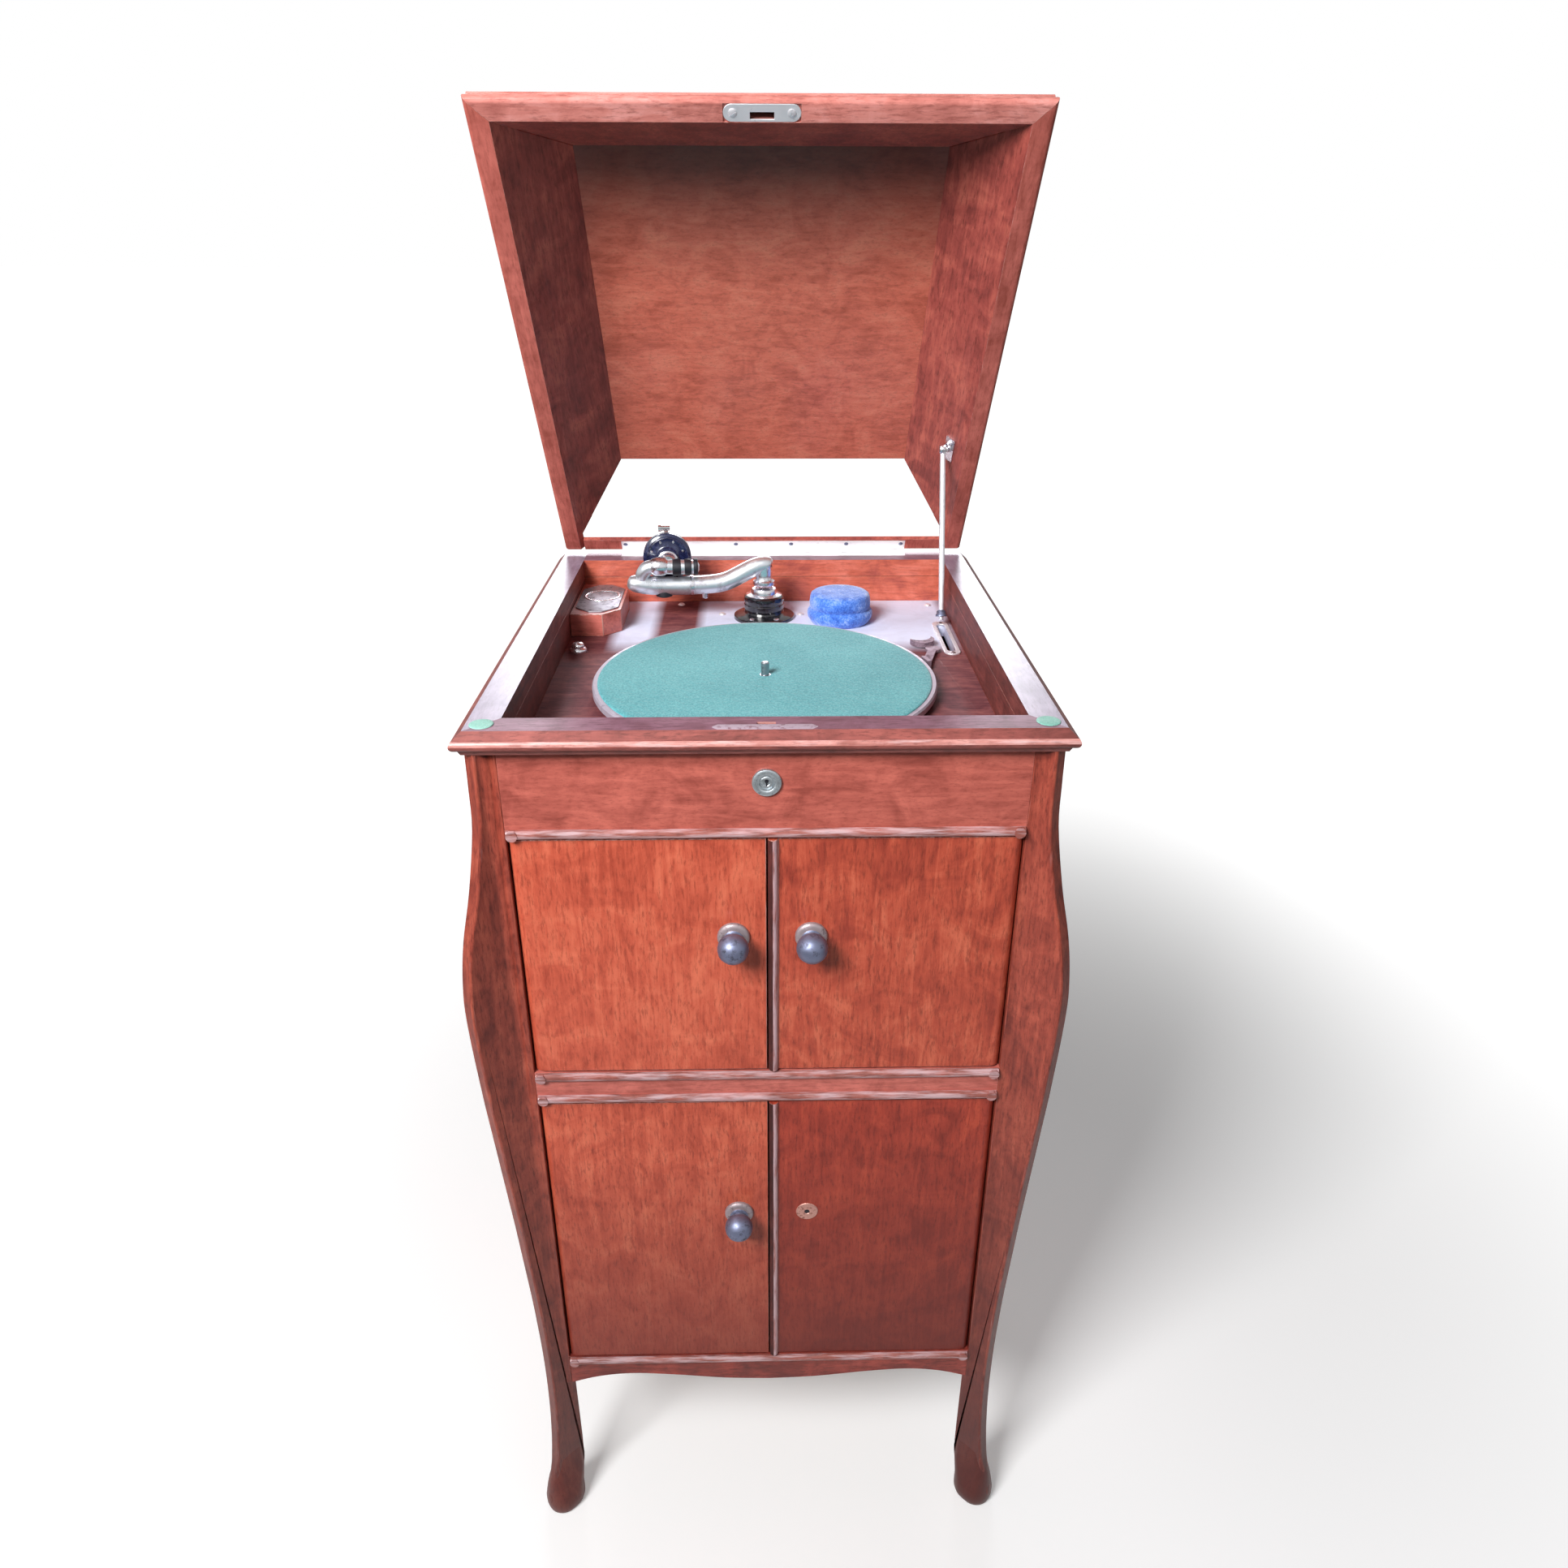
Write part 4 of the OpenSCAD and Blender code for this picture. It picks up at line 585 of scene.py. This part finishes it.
def addToe(name, node, sideways, backwards):
    bm = bmesh.new()
    loops = []
    out = Vector((sideways, backwards, 0)).normalized()
    for height, middle, half, wide in toeRings:
        ring = bmesh.ops.create_circle(bm, segments=40, radius=wide * mm, cap_ends=False)["verts"]
        for end in (-1, 1):  # the two halves of the circle move apart
            far = [v for v in ring if v.co.dot(out) * end > 0]
            bmesh.ops.translate(bm, verts=far, vec=out * end * (half - wide) * mm)
        spot = Vector((sideways * legs["corner"][0], backwards * legs["corner"][1], height)) + out * middle
        bmesh.ops.translate(bm, verts=ring, vec=spot * mm)
        loops.append(ring)
    for low, high in zip(loops, loops[1:]):
        both = {e for v in low + high for e in v.link_edges if len(e.link_faces) < 2 and
                (set(e.verts) <= set(low) or set(e.verts) <= set(high))}
        bmesh.ops.bridge_loops(bm, edges=list(both))
    for ring in (loops[0], loops[-1]):
        bmesh.ops.contextual_create(bm, geom=ring)
    addPiece(name, finishMesh(bm, name), node, [woodPieces[node]["look"]], smooth=50)


legCorners = {"post_front_left": [(-1, -1)], "post_front_right": [(1, -1)], "back_posts": [(-1, 1), (1, 1)]}
for node, corners in legCorners.items():
    for count, (sideways, backwards) in enumerate(corners):
        addToe(f"toe_{node}_{count}", node, sideways, backwards)

upward = (0, 0, 1)
forward = (0, -1, 0)
backward = (0, 1, 0)


def spinOutline(outline, steps):  # an outline of (radius, height) in mm, spun into a closed round
    bm = bmesh.new()
    dots = [bm.verts.new((radius * mm, 0, height * mm)) for radius, height in outline]
    for start, end in zip(dots, dots[1:]):
        bm.edges.new((start, end))
    bmesh.ops.spin(bm, geom=bm.verts[:] + bm.edges[:], cent=(0, 0, 0), axis=upward, angle=2 * pi, steps=steps,
                   use_merge=True)
    return bm


# A turned piece stands at its place along its axis. Second is a further look with the two distances along
# the axis between which it holds, and a whole piece takes the place of its node
def turnPiece(name, node, outline, place, look, axis=upward, steps=48, smooth=34, second=None, whole=False):
    bm = spinOutline(outline, steps)
    way = Vector(axis)
    if axis != upward:
        bmesh.ops.rotate(bm, verts=bm.verts, matrix=way.to_track_quat("Z", "Y").to_matrix())
    bmesh.ops.translate(bm, verts=bm.verts, vec=Vector(place) * mm)
    mesh = finishMesh(bm, name)
    piece = addPiece(name, mesh, node, [look, second[0]] if second else [look], smooth=smooth)
    if second:
        for face in mesh.polygons:
            along = (face.center / mm - Vector(place)).dot(way)
            if second[1] < along < second[2]:
                face.material_index = 1
    if whole:
        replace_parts(piece, node)
    return piece


# A slotted screw head, domed, with the slot cut across it
def addScrew(name, node, place, axis=upward, radius=3.6, dome=1.1, look="nickelDull", turn=0.6):
    bm = spinOutline([(0, dome), (radius * 0.45, dome * 0.93), (radius * 0.8, dome * 0.62),
                      (radius, dome * 0.12), (radius, -0.3)], 24)
    bmesh.ops.remove_doubles(bm, verts=bm.verts, dist=0.000005)
    for side in (-1, 1):
        bmesh.ops.bisect_plane(bm, geom=bm.verts[:] + bm.edges[:] + bm.faces[:], dist=0.0000001,
                               plane_co=(0, side * radius * 0.13 * mm, 0), plane_no=(0, 1, 0))
    middles = [(face, face.calc_center_median()) for face in bm.faces]
    slot = [face for face, middle in middles if abs(middle.y) < radius * 0.12 * mm and middle.z > 0]
    sunk = bmesh.ops.extrude_face_region(bm, geom=slot)
    bmesh.ops.delete(bm, geom=slot, context="FACES")
    for v in (v for v in sunk["geom"] if isinstance(v, bmesh.types.BMVert)):
        v.co.z = min(v.co.z, dome * 0.3 * mm) - 0.1 * mm
    bmesh.ops.rotate(bm, verts=bm.verts, matrix=Matrix.Rotation(turn, 3, "Z"))
    bmesh.ops.rotate(bm, verts=bm.verts, matrix=Vector(axis).to_track_quat("Z", "Y").to_matrix())
    bmesh.ops.translate(bm, verts=bm.verts, vec=Vector(place) * mm)
    addPiece(name, finishMesh(bm, name), node, [look], smooth=40)


# A tube bent along points of (place, radius) in mm, closed at its ends, in place of its node
def addTube(name, node, path, look, steps=20):
    data = bpy.data.curves.new(name, "CURVE")
    data.dimensions = "3D"
    data.bevel_depth = mm
    data.bevel_resolution = 8
    data.resolution_u = steps
    data.use_fill_caps = True
    line = data.splines.new("NURBS")
    line.points.add(len(path) - 1)
    for point, (place, radius) in zip(line.points, path):
        point.co = (*(Vector(place) * mm), 1)
        point.radius = radius
    line.use_endpoint_u = True
    line.order_u = 3
    bent = bpy.data.objects.new(name + "_line", data)
    bpy.context.scene.collection.objects.link(bent)
    bpy.context.view_layer.update()
    raw = bpy.data.meshes.new_from_object(bent.evaluated_get(bpy.context.evaluated_depsgraph_get()))
    bpy.data.objects.remove(bent)
    bpy.data.curves.remove(data)
    bm = bmesh.new()
    bm.from_mesh(raw)
    bpy.data.meshes.remove(raw)
    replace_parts(addPiece(name, finishMesh(bm, name), node, [look], smooth=50), node)


# A plate or bar between two corners in mm, with its upright corners cut off if wanted and its edges eased
def addBlock(name, node, low, high, look, radius=0.3, corners=0):
    bm = bmesh.new()
    bmesh.ops.create_cube(bm, size=1)
    bmesh.ops.scale(bm, verts=bm.verts, vec=(Vector(high) - Vector(low)) * mm)
    if corners:
        upright = [e for e in bm.edges if abs(e.verts[0].co.z - e.verts[1].co.z) > 0.0001]
        bmesh.ops.bevel(bm, geom=upright, offset=corners * mm, offset_type="OFFSET", segments=1, profile=0.5,
                        affect="EDGES", material=-1, clamp_overlap=True)
    bmesh.ops.bevel(bm, geom=bm.edges[:], offset=radius * mm, offset_type="OFFSET", segments=3, profile=0.5,
                    affect="EDGES", material=-1, clamp_overlap=True)
    bmesh.ops.translate(bm, verts=bm.verts, vec=(Vector(low) + Vector(high)) / 2 * mm)
    addPiece(name, finishMesh(bm, name), node, [look], smooth=35)


doorFace = -236

# a knob is a ball on a neck, with a turned rose against the door; the lower right one is gone
knob = {"look": "knob", "axis": forward, "smooth": 40, "second": ("knobRose", -1, 4.6), "whole": True,
        "outline": [
    (0, 29.5), (3.2, 29.2), (6.8, 27.9), (9.8, 25.4), (11.8, 21.9), (12.5, 18), (12.1, 14.6), (10.6, 11.6),
    (8.2, 9.3), (6.2, 8.2), (5.4, 7.2), (5.6, 6.2), (7.4, 5.6), (8.2, 4.9), (7.9, 4.2), (10.4, 3.7),
    (12.3, 2.9), (13, 1.8), (13, 0)]}
knobPlaces = {"knob_upper_left": (-27, 713), "knob_upper_right": (35, 713), "knob_lower_left": (-27, 411)}
for name, (x, z) in knobPlaces.items():
    turnPiece("turned_" + name, name, place=(x, doorFace, z), **knob)

# the rose that the missing knob left behind, with its screw's hole
bareRose = {
    "turned_knob_plate": {"look": "plate", "whole": True, "outline": [
        (0, 0.6), (2.6, 0.6), (2.9, 1.0), (3.6, 1.25), (6, 1.0), (6.6, 0.8), (8.4, 1.1), (9.4, 0.9),
        (10, 0.3), (10, 0)]},
    "knob_screw_hole": {"look": "rubber", "outline": [(0, 0.75), (2.1, 0.75), (2.5, 0.5), (2.5, 0)]},
}
for name, settings in bareRose.items():
    turnPiece(name, "knob_plate_lower_right", place=(35, doorFace, 411), axis=forward, **settings)

# the lock: a raised ring round the plug, and the keyhole
lockHeight = 850
lockRings = {
    "lock_ring": {"node": "lock_case", "outline": [
        (6.6, 2.1), (7.4, 2.55), (9.6, 2.6), (10.6, 2.2), (11, 1.4), (11, 0.1)]},
    "plug_ring": {"node": "lock_plug", "outline": [
        (2.4, 1.25), (2.9, 1.7), (4.4, 1.75), (5.0, 1.4), (5.2, 1.0)]},
}
for name, settings in lockRings.items():
    turnPiece(name, place=(0, doorFace, lockHeight), look="lock", axis=forward, smooth=40, **settings)
turnPiece("keyhole_round", "lock_plug", [(0, 1.6), (1.5, 1.6), (1.5, 1.0)],
          (0, doorFace, lockHeight + 1), "rubber", forward, steps=24)
addBlock("keyhole_slot", "lock_plug", (-0.55, -237.7, lockHeight - 3.6), (0.55, -236.9, lockHeight + 1),
         "rubber", radius=0.2)

# screws in rows; those on the lid are given with the lid shut
lidDown = tuple(lidTurn @ Vector((0, 0, -1)))
screwRows = {
    "strike_screw": {"node": "strike_plate", "places": [onLid((x, -232.1, 895.9)) for x in (-22, 22)],
                     "axis": lidDown, "radius": 3.1, "dome": 0.7, "look": "nickelSatin", "turn": 0.5},
    "lid_hinge_screw": {"node": "hinge_lid_leaf", "axis": lidDown, "radius": 2.4, "dome": 0.5, "look": "knob",
                        "places": [onLid((x, 240.5, 896.2)) for x in (-152, -91.5, -30.5, 30.5, 91.5, 152)],
                        "turn": 0.3},
    "slot_plate_screw": {"node": "stay_plate", "places": [(182.3, y, 850.6) for y in (43.5, 134.5)],
                         "radius": 2.9, "dome": 0.8, "turn": 1},
}


def addScrewRow(name, places, turn, turnStep=1, **settings):
    for count, place in enumerate(places):
        addScrew(f"{name}_{count}", place=place, turn=turn + turnStep * count, **settings)


for name, settings in screwRows.items():
    addScrewRow(name, **settings)

# the bare, worn patch on the front rim
addBlock("rim_mark", "top_moulding", (-39.5, -241.5, 894.9), (37.5, -232.5, 895.12), "mark", radius=0.1,
         corners=4)

# the brass screws that hold the back panel
backScrews = {"node": "back_panel", "axis": backward, "radius": 3.2, "dome": 0.8, "look": "brass",
              "places": [(x, 236, z) for z in (205, 430, 650, 850) for x in (-188, 188)],
              "turn": 0.4, "turnStep": 0.9}
addScrewRow("back_screw", **backScrews)

# the tonearm's own directions, in which its tubes and its sound box are placed
armBase = Vector((0, 162, 0))
armAlong = Vector((-0.9945, -0.1045, 0))
armSide = Vector((0.1045, -0.9945, 0))


def armPlace(distance, side, height):
    return tuple(armBase + armAlong * distance + armSide * side + Vector((0, 0, height)))


def armPath(points):  # (distance, side, height, radius), each in mm
    return [(armPlace(distance, side, height), radius) for distance, side, height, radius in points]


# the enamelled foot of the tonearm, with a nickel cap and four screws in its flange
turnPiece("arm_base", "tonearm_base", [
    (0, 882), (9.5, 882), (12.5, 880.6), (13.4, 878.6), (13.6, 875.5), (15.6, 874.6), (18.6, 873.9),
    (20.6, 872.4), (21, 870.6), (21, 867.6), (20.4, 866.6), (20.4, 865), (21, 864.2), (20.8, 860),
    (20.2, 857), (21, 855.4), (24.5, 854.2), (29.5, 853.2), (31.6, 852), (32, 850.4), (32, 849.1)],
    tuple(armBase), "enamel", smooth=36, second=("nickel", 873.6, 883), whole=True)
flange = {"radius": 26.4, "height": 853.7, "screws": {1: 62, 2: 118, 4: 242, 5: 298}}  # by degrees round it
for count, angle in flange["screws"].items():
    x = armBase.x + flange["radius"] * cos(radians(angle))
    y = armBase.y - flange["radius"] * sin(radians(angle))
    addScrew(f"flange_screw_{count}", "tonearm_base", (x, y, flange["height"]), radius=3, dome=1.2,
             look="nickel", turn=count)

# the nickel arm: its neck, its tube and what is soldered to it
turnPiece("arm_neck", "tonearm", [
    (0, 884.5), (11, 884.5), (11.6, 886), (11.2, 888.4), (9.4, 889.6), (8.6, 891), (8.5, 896), (8.5, 904)],
    tuple(armBase), "nickel", smooth=40)
addTube("arm_tube", "tonearm", armPath([
    (-7.2, 0, 905.2, 3.2), (-6.8, 0, 905.6, 6.6), (-5, 0, 905.8, 8.2), (0, 0, 905.6, 9.0),
    (10, 0, 903.2, 9.4), (26, 0, 895, 9.6), (40, 0, 888.2, 9.6), (56, 0, 886.2, 9.6), (84, 0, 885.8, 9.6),
    (112, 0, 886.4, 9.6), (124, 0, 888, 9.6), (132, 0, 889.4, 9.2), (137.5, 0, 890.2, 7.8),
    (140.4, 0, 890.6, 5.6), (141.4, 0, 890.8, 2.6)]), "nickelArm")
armFittings = {
    "arm_seam": {"place": armPlace(75, 0, 886), "look": "nickel", "axis": tuple(armAlong), "smooth": 30,
                 "outline": [(9.7, -1.8), (10.2, -1.5), (10.2, 1.5), (9.7, 1.8)]},
    "arm_stop": {"place": armPlace(104, 0, 880), "look": "rubber", "smooth": 40,
                 "outline": [(0, -4.6), (7, -4.6), (8.6, -3.8), (8.8, -1), (8.4, 1.4)]},
    "arm_ferrule": {"place": armPlace(62, 2, 878.5), "look": "nickel", "steps": 24,
                    "outline": [(0, -6), (2.4, -6), (3, -5.2), (3, 0)]},
}
for name, settings in armFittings.items():
    turnPiece(name, "tonearm", **settings)

# the crook that carries the sound box, with three rubber rings on its end
addTube("crook_tube", "gooseneck", armPath([
    (127, 1, 889, 4), (126.6, 1, 893, 6.6), (125.4, 1.4, 900.5, 7.4), (119.5, 2.6, 907, 7.6),
    (110, 3.6, 907.8, 7.6), (98, 4.2, 907.2, 7.6), (84, 4.4, 906.6, 7.6), (72, 4.4, 906.2, 7.2),
    (68.5, 4.4, 906, 5.6), (67, 4.4, 906, 2.6)]), "nickelArm")
for count, (distance, half) in enumerate(((90.5, 4.4), (79, 3.6), (71, 2.2))):
    turnPiece(f"crook_ring_{count}", "gooseneck",
              [(7.4, -half), (8.3, -half + 0.5), (8.5, 0), (8.3, half - 0.5), (7.4, half)],
              armPlace(distance, 4.4, 906.6), "rubber", tuple(armAlong), steps=40, smooth=40)
crookFittings = {
    "crook_bulb": {"place": armPlace(108, 3.8, 907.8), "axis": tuple(armAlong), "smooth": 50, "outline": [
        (7.3, -8.5), (8.8, -6.4), (9.6, -3), (9.7, 0), (9.6, 3), (8.8, 6.4), (7.3, 8.5)]},
    "crook_boss": {"place": armPlace(99, -2, 909.5), "axis": tuple(armSide), "smooth": 36, "outline": [
        (0, 6), (8, 5.5), (9.4, 4), (9.6, -4), (11, -5), (11, -8.6), (10.4, -9.4), (0, -9.4)]},
}
for name, settings in crookFittings.items():
    turnPiece(name, "gooseneck", look="nickel", steps=40, **settings)

# the sound box: a lacquered shell with a nickel band, and rivets round its back
soundbox = {
    "distance": 99, "height": 912, "shellSide": -11, "rivetSide": -13.2, "rivets": 8, "rivetCircle": 17.4,
    "band": (-11.6, -8.8), "outline": [
        (0, 0), (8, 0), (10.4, -0.2), (11, -1.2), (12.6, -2.2), (19.2, -2.4), (20.4, -1.5), (21.4, -1.3),
        (22.2, -2.1), (23.8, -2.6), (24.8, -3.6), (25, -5), (25, -8.6), (24.4, -10.4), (22.8, -11.8),
        (21, -12.8), (18, -12.4), (9, -11.6), (3, -12.6), (0, -12.8)],
}
shellPlace = armPlace(soundbox["distance"], soundbox["shellSide"], soundbox["height"])
turnPiece("soundbox_shell", "soundbox", soundbox["outline"], shellPlace, "boxBack", tuple(armSide), steps=64,
          smooth=36, second=("nickel", *soundbox["band"]), whole=True)
for count in range(soundbox["rivets"]):
    turned = radians(22.5 + 360 / soundbox["rivets"] * count)
    spot = armPlace(soundbox["distance"] + soundbox["rivetCircle"] * cos(turned), soundbox["rivetSide"],
                    soundbox["height"] + soundbox["rivetCircle"] * sin(turned))
    turnPiece(f"soundbox_rivet_{count}", "soundbox", [(0, 0.9), (0.9, 0.7), (1.3, 0.2), (1.3, -0.3)], spot,
              "nickelDull", tuple(armSide), steps=12)

# what stands on the motor board: the spindle's tip, the needles' bowl and plate, and the speed knob
turnPiece("spindle_tip", "spindle", [
    (0, 874.3), (1.7, 874.1), (2.7, 873.5), (3.45, 872.2), (3.55, 870), (3.55, 862.6)], (0, -45, 0),
    "nickelSatin", steps=32, smooth=50)
turnPiece("needle_bowl_top", "needle_bowl", [
    (0, 862.6), (6, 863), (11, 865), (14, 868), (15.6, 871.2), (15.9, 873.2), (17, 873.9), (18.6, 873.8),
    (19.2, 873.2), (19.2, 872)], (-169, 160, 0), "nickel", smooth=50, whole=True)
addBlock("needle_plate", "needle_block", (-191.5, 106, 871.6), (-148.2, 200, 873.2), "needlePlate",
         radius=0.4, corners=15)
turnPiece("speed_button", "speed_knob", [
    (0, 858.4), (3.4, 858.2), (5.4, 857.2), (6.2, 855.6), (6, 853.8), (7.6, 852.8), (8.6, 851.4),
    (8.4, 849.2), (0, 849.2)], (-181, 55, 0), "nickel", smooth=45, whole=True)

# the blue cleaning pad: a crowned cushion, pinched round its middle where its two tiers meet
bluePad = turnPiece("blue_pad", "cleaning_pad", [
    (0, 881), (12, 880.9), (22, 880.6), (28, 879.8), (30.2, 878.2), (31, 875.5), (31.6, 870), (31.4, 866.6),
    (30.2, 865), (30.4, 863.8), (32.6, 862.6), (33.8, 860.4), (34, 857.6), (33.4, 855), (31.4, 851.6),
    (29.4, 849.3), (0, 849.2)], (79, 148, 0), "plush", steps=64, smooth=60, whole=True)

# the felt lies on the platter inside a ring of bare metal
feltDisc = turnPiece("platter_felt_disc", "platter_felt", [
    (3.7, 862.4), (20, 862.5), (90, 862.5), (139, 862.5), (145.6, 862.45), (147.2, 862.1), (147.8, 861.6),
    (147.9, 861.02), (3.7, 861.02), (3.7, 862.4)], (0, -45, 0), "felt", steps=128, smooth=60, whole=True)

# two felt pads that the lid comes down on; the left one stands for the node, which holds both
padOutline = [(0, 896), (4, 895.99), (7.4, 895.93), (8.5, 895.75), (8.95, 895.4), (8.9, 895.02), (0, 895.02)]
for side, name in ((-1, "felt_pad_left"), (1, "felt_pad_right")):
    feltPad = turnPiece(name, "felt_pads", padOutline, (side * 207, -230, 0), "padFelt", smooth=60,
                        whole=side < 0)

# the lid's stay: a wire from the eye on its stud down to a shoe in the slotted plate
stayHead = Vector((182.3, 183.44, 1017.73))
stayUp = Vector((0, sin(radians(20)), cos(radians(20))))  # the wire leans back by 20 degrees
stayFoot = stayHead - stayUp * 168
addTube("stay_wire", "stay_rod", [
    (stayHead, 2.9), (stayHead.lerp(stayFoot, 0.5), 2.9), (stayFoot, 2.9),
    (stayFoot + Vector((0, -1.2, -3)), 2.2)], "nickelSatin", steps=4)
stayEnds = {
    "stay_shoe": {"place": tuple(stayFoot), "look": "knob", "axis": tuple(stayUp), "outline": [
        (2.4, 7), (3.4, 6.8), (4.6, 5.6), (4.9, 3), (5.6, 2.2), (5.8, 0.4), (0, 0.2)]},
    "stay_eye": {"place": tuple(stayHead), "look": "nickel", "axis": (1, 0, 0), "outline": [
        (0, 3.2), (3, 3.1), (4.8, 2.6), (5.4, 1.4), (5.4, -1.4), (4.8, -2.6), (3, -3.1), (0, -3.2)]},
}
for name, settings in stayEnds.items():
    turnPiece(name, "stay_rod", steps=32, smooth=40, **settings)
print("turned and bent pieces made")

# the floor glows to white from a soft dark middle, in metres
stage = {"size": 40.0, "white": "#f2f2f2", "shift": (-0.2, -0.1, 0), "near": 0.22, "far": 1.0,
         "nearRadius": 0.35, "farRadius": 1.8}


def makeStage():
    bm = bmesh.new()
    bmesh.ops.create_grid(bm, x_segments=1, y_segments=1, size=stage["size"])
    mesh = bpy.data.meshes.new("floor")
    bm.to_mesh(mesh)
    bm.free()
    floor = bpy.data.objects.new("floor", mesh)
    bpy.context.scene.collection.objects.link(floor)
    material, tree, shader = startMaterial("studio_floor", {
        "Base Color": linear(stage["white"]), "Roughness": 1.0, "Specular IOR Level": 0.0})
    path = addNode(tree, "ShaderNodeLightPath")
    place = addNode(tree, "ShaderNodeTexCoord").outputs["Object"]
    shifted = addNode(tree, "ShaderNodeMapping", {
        "Vector": place, "Location": stage["shift"]}).outputs["Vector"]
    away = addNode(tree, "ShaderNodeVectorMath", {0: shifted}, operation="LENGTH").outputs["Value"]
    level = addNode(tree, "ShaderNodeMapRange", {
        "Value": away, "From Min": stage["nearRadius"], "From Max": stage["farRadius"],
        "To Min": stage["near"], "To Max": stage["far"]}, interpolation_type="SMOOTHSTEP").outputs[0]
    glow = addNode(tree, "ShaderNodeEmission", {"Color": (1, 1, 1, 1), "Strength": level})
    lit = addNode(tree, "ShaderNodeAddShader", {0: shader.outputs[0], 1: glow.outputs[0]})
    seen = addNode(tree, "ShaderNodeMixShader", {
        0: path.outputs["Is Camera Ray"], 1: shader.outputs[0], 2: lit.outputs[0]})
    tree.links.new(seen.outputs[0], tree.nodes["Material Output"].inputs["Surface"])
    mesh.materials.append(material)


makeStage()

lamps = {
    "key": {"place": (-0.95, -1.45, 2.15), "aim": (0.0, 0.05, 1.0), "size": (0.8, 0.8), "watts": 25.5,
            "spread": 105},
    "fill": {"place": (1.6, -2.4, 1.2), "aim": (0.0, 0.0, 0.7), "size": (1.6, 1.6), "watts": 1.5,
             "spread": 180},
    "back": {"place": (0.0, 2.3, 1.75), "aim": (0.0, 0.0, 0.93), "size": (1.7, 0.7), "watts": 3.5,
             "spread": 50, "tint": (0.93, 0.95, 1.0)},
}


def addLamp(name, place, aim, size, watts, spread, tint=(1, 1, 1)):
    data = bpy.data.lights.new(name, "AREA")
    data.shape = "RECTANGLE"
    data.size, data.size_y = size
    data.energy = watts
    data.spread = radians(spread)
    data.color = tint
    lamp = bpy.data.objects.new(name, data)
    lamp.location = place
    lamp.rotation_euler = (Vector(aim) - Vector(place)).to_track_quat("-Z", "Y").to_euler()
    lamp.visible_camera = False
    bpy.context.scene.collection.objects.link(lamp)


for name, setting in lamps.items():
    addLamp(name, **setting)

# the room is white to the camera, pale grey in what shines and dim for everything else
room = {"dim": 0.13, "shine": 0.62}


def makeRoom():
    world = bpy.data.worlds.new("studio")
    bpy.context.scene.world = world
    world.use_nodes = True
    tree = world.node_tree
    tree.nodes.clear()
    path = addNode(tree, "ShaderNodeLightPath")
    shiny = addNode(tree, "ShaderNodeMath", {
        0: path.outputs["Is Glossy Ray"], 1: room["shine"]}, operation="MULTIPLY")
    white = addNode(tree, "ShaderNodeMath", {
        0: path.outputs["Is Camera Ray"], 1: shiny.outputs[0]}, operation="MAXIMUM")
    level = addNode(tree, "ShaderNodeMapRange", {
        "Value": white.outputs[0], "To Min": room["dim"], "To Max": 1.0})
    air = addNode(tree, "ShaderNodeBackground", {"Color": (1, 1, 1, 1), "Strength": level.outputs[0]})
    addNode(tree, "ShaderNodeOutputWorld", {"Surface": air.outputs[0]})


makeRoom()
bpy.context.scene.view_settings.view_transform = "Standard"
print("stage and lamps set")
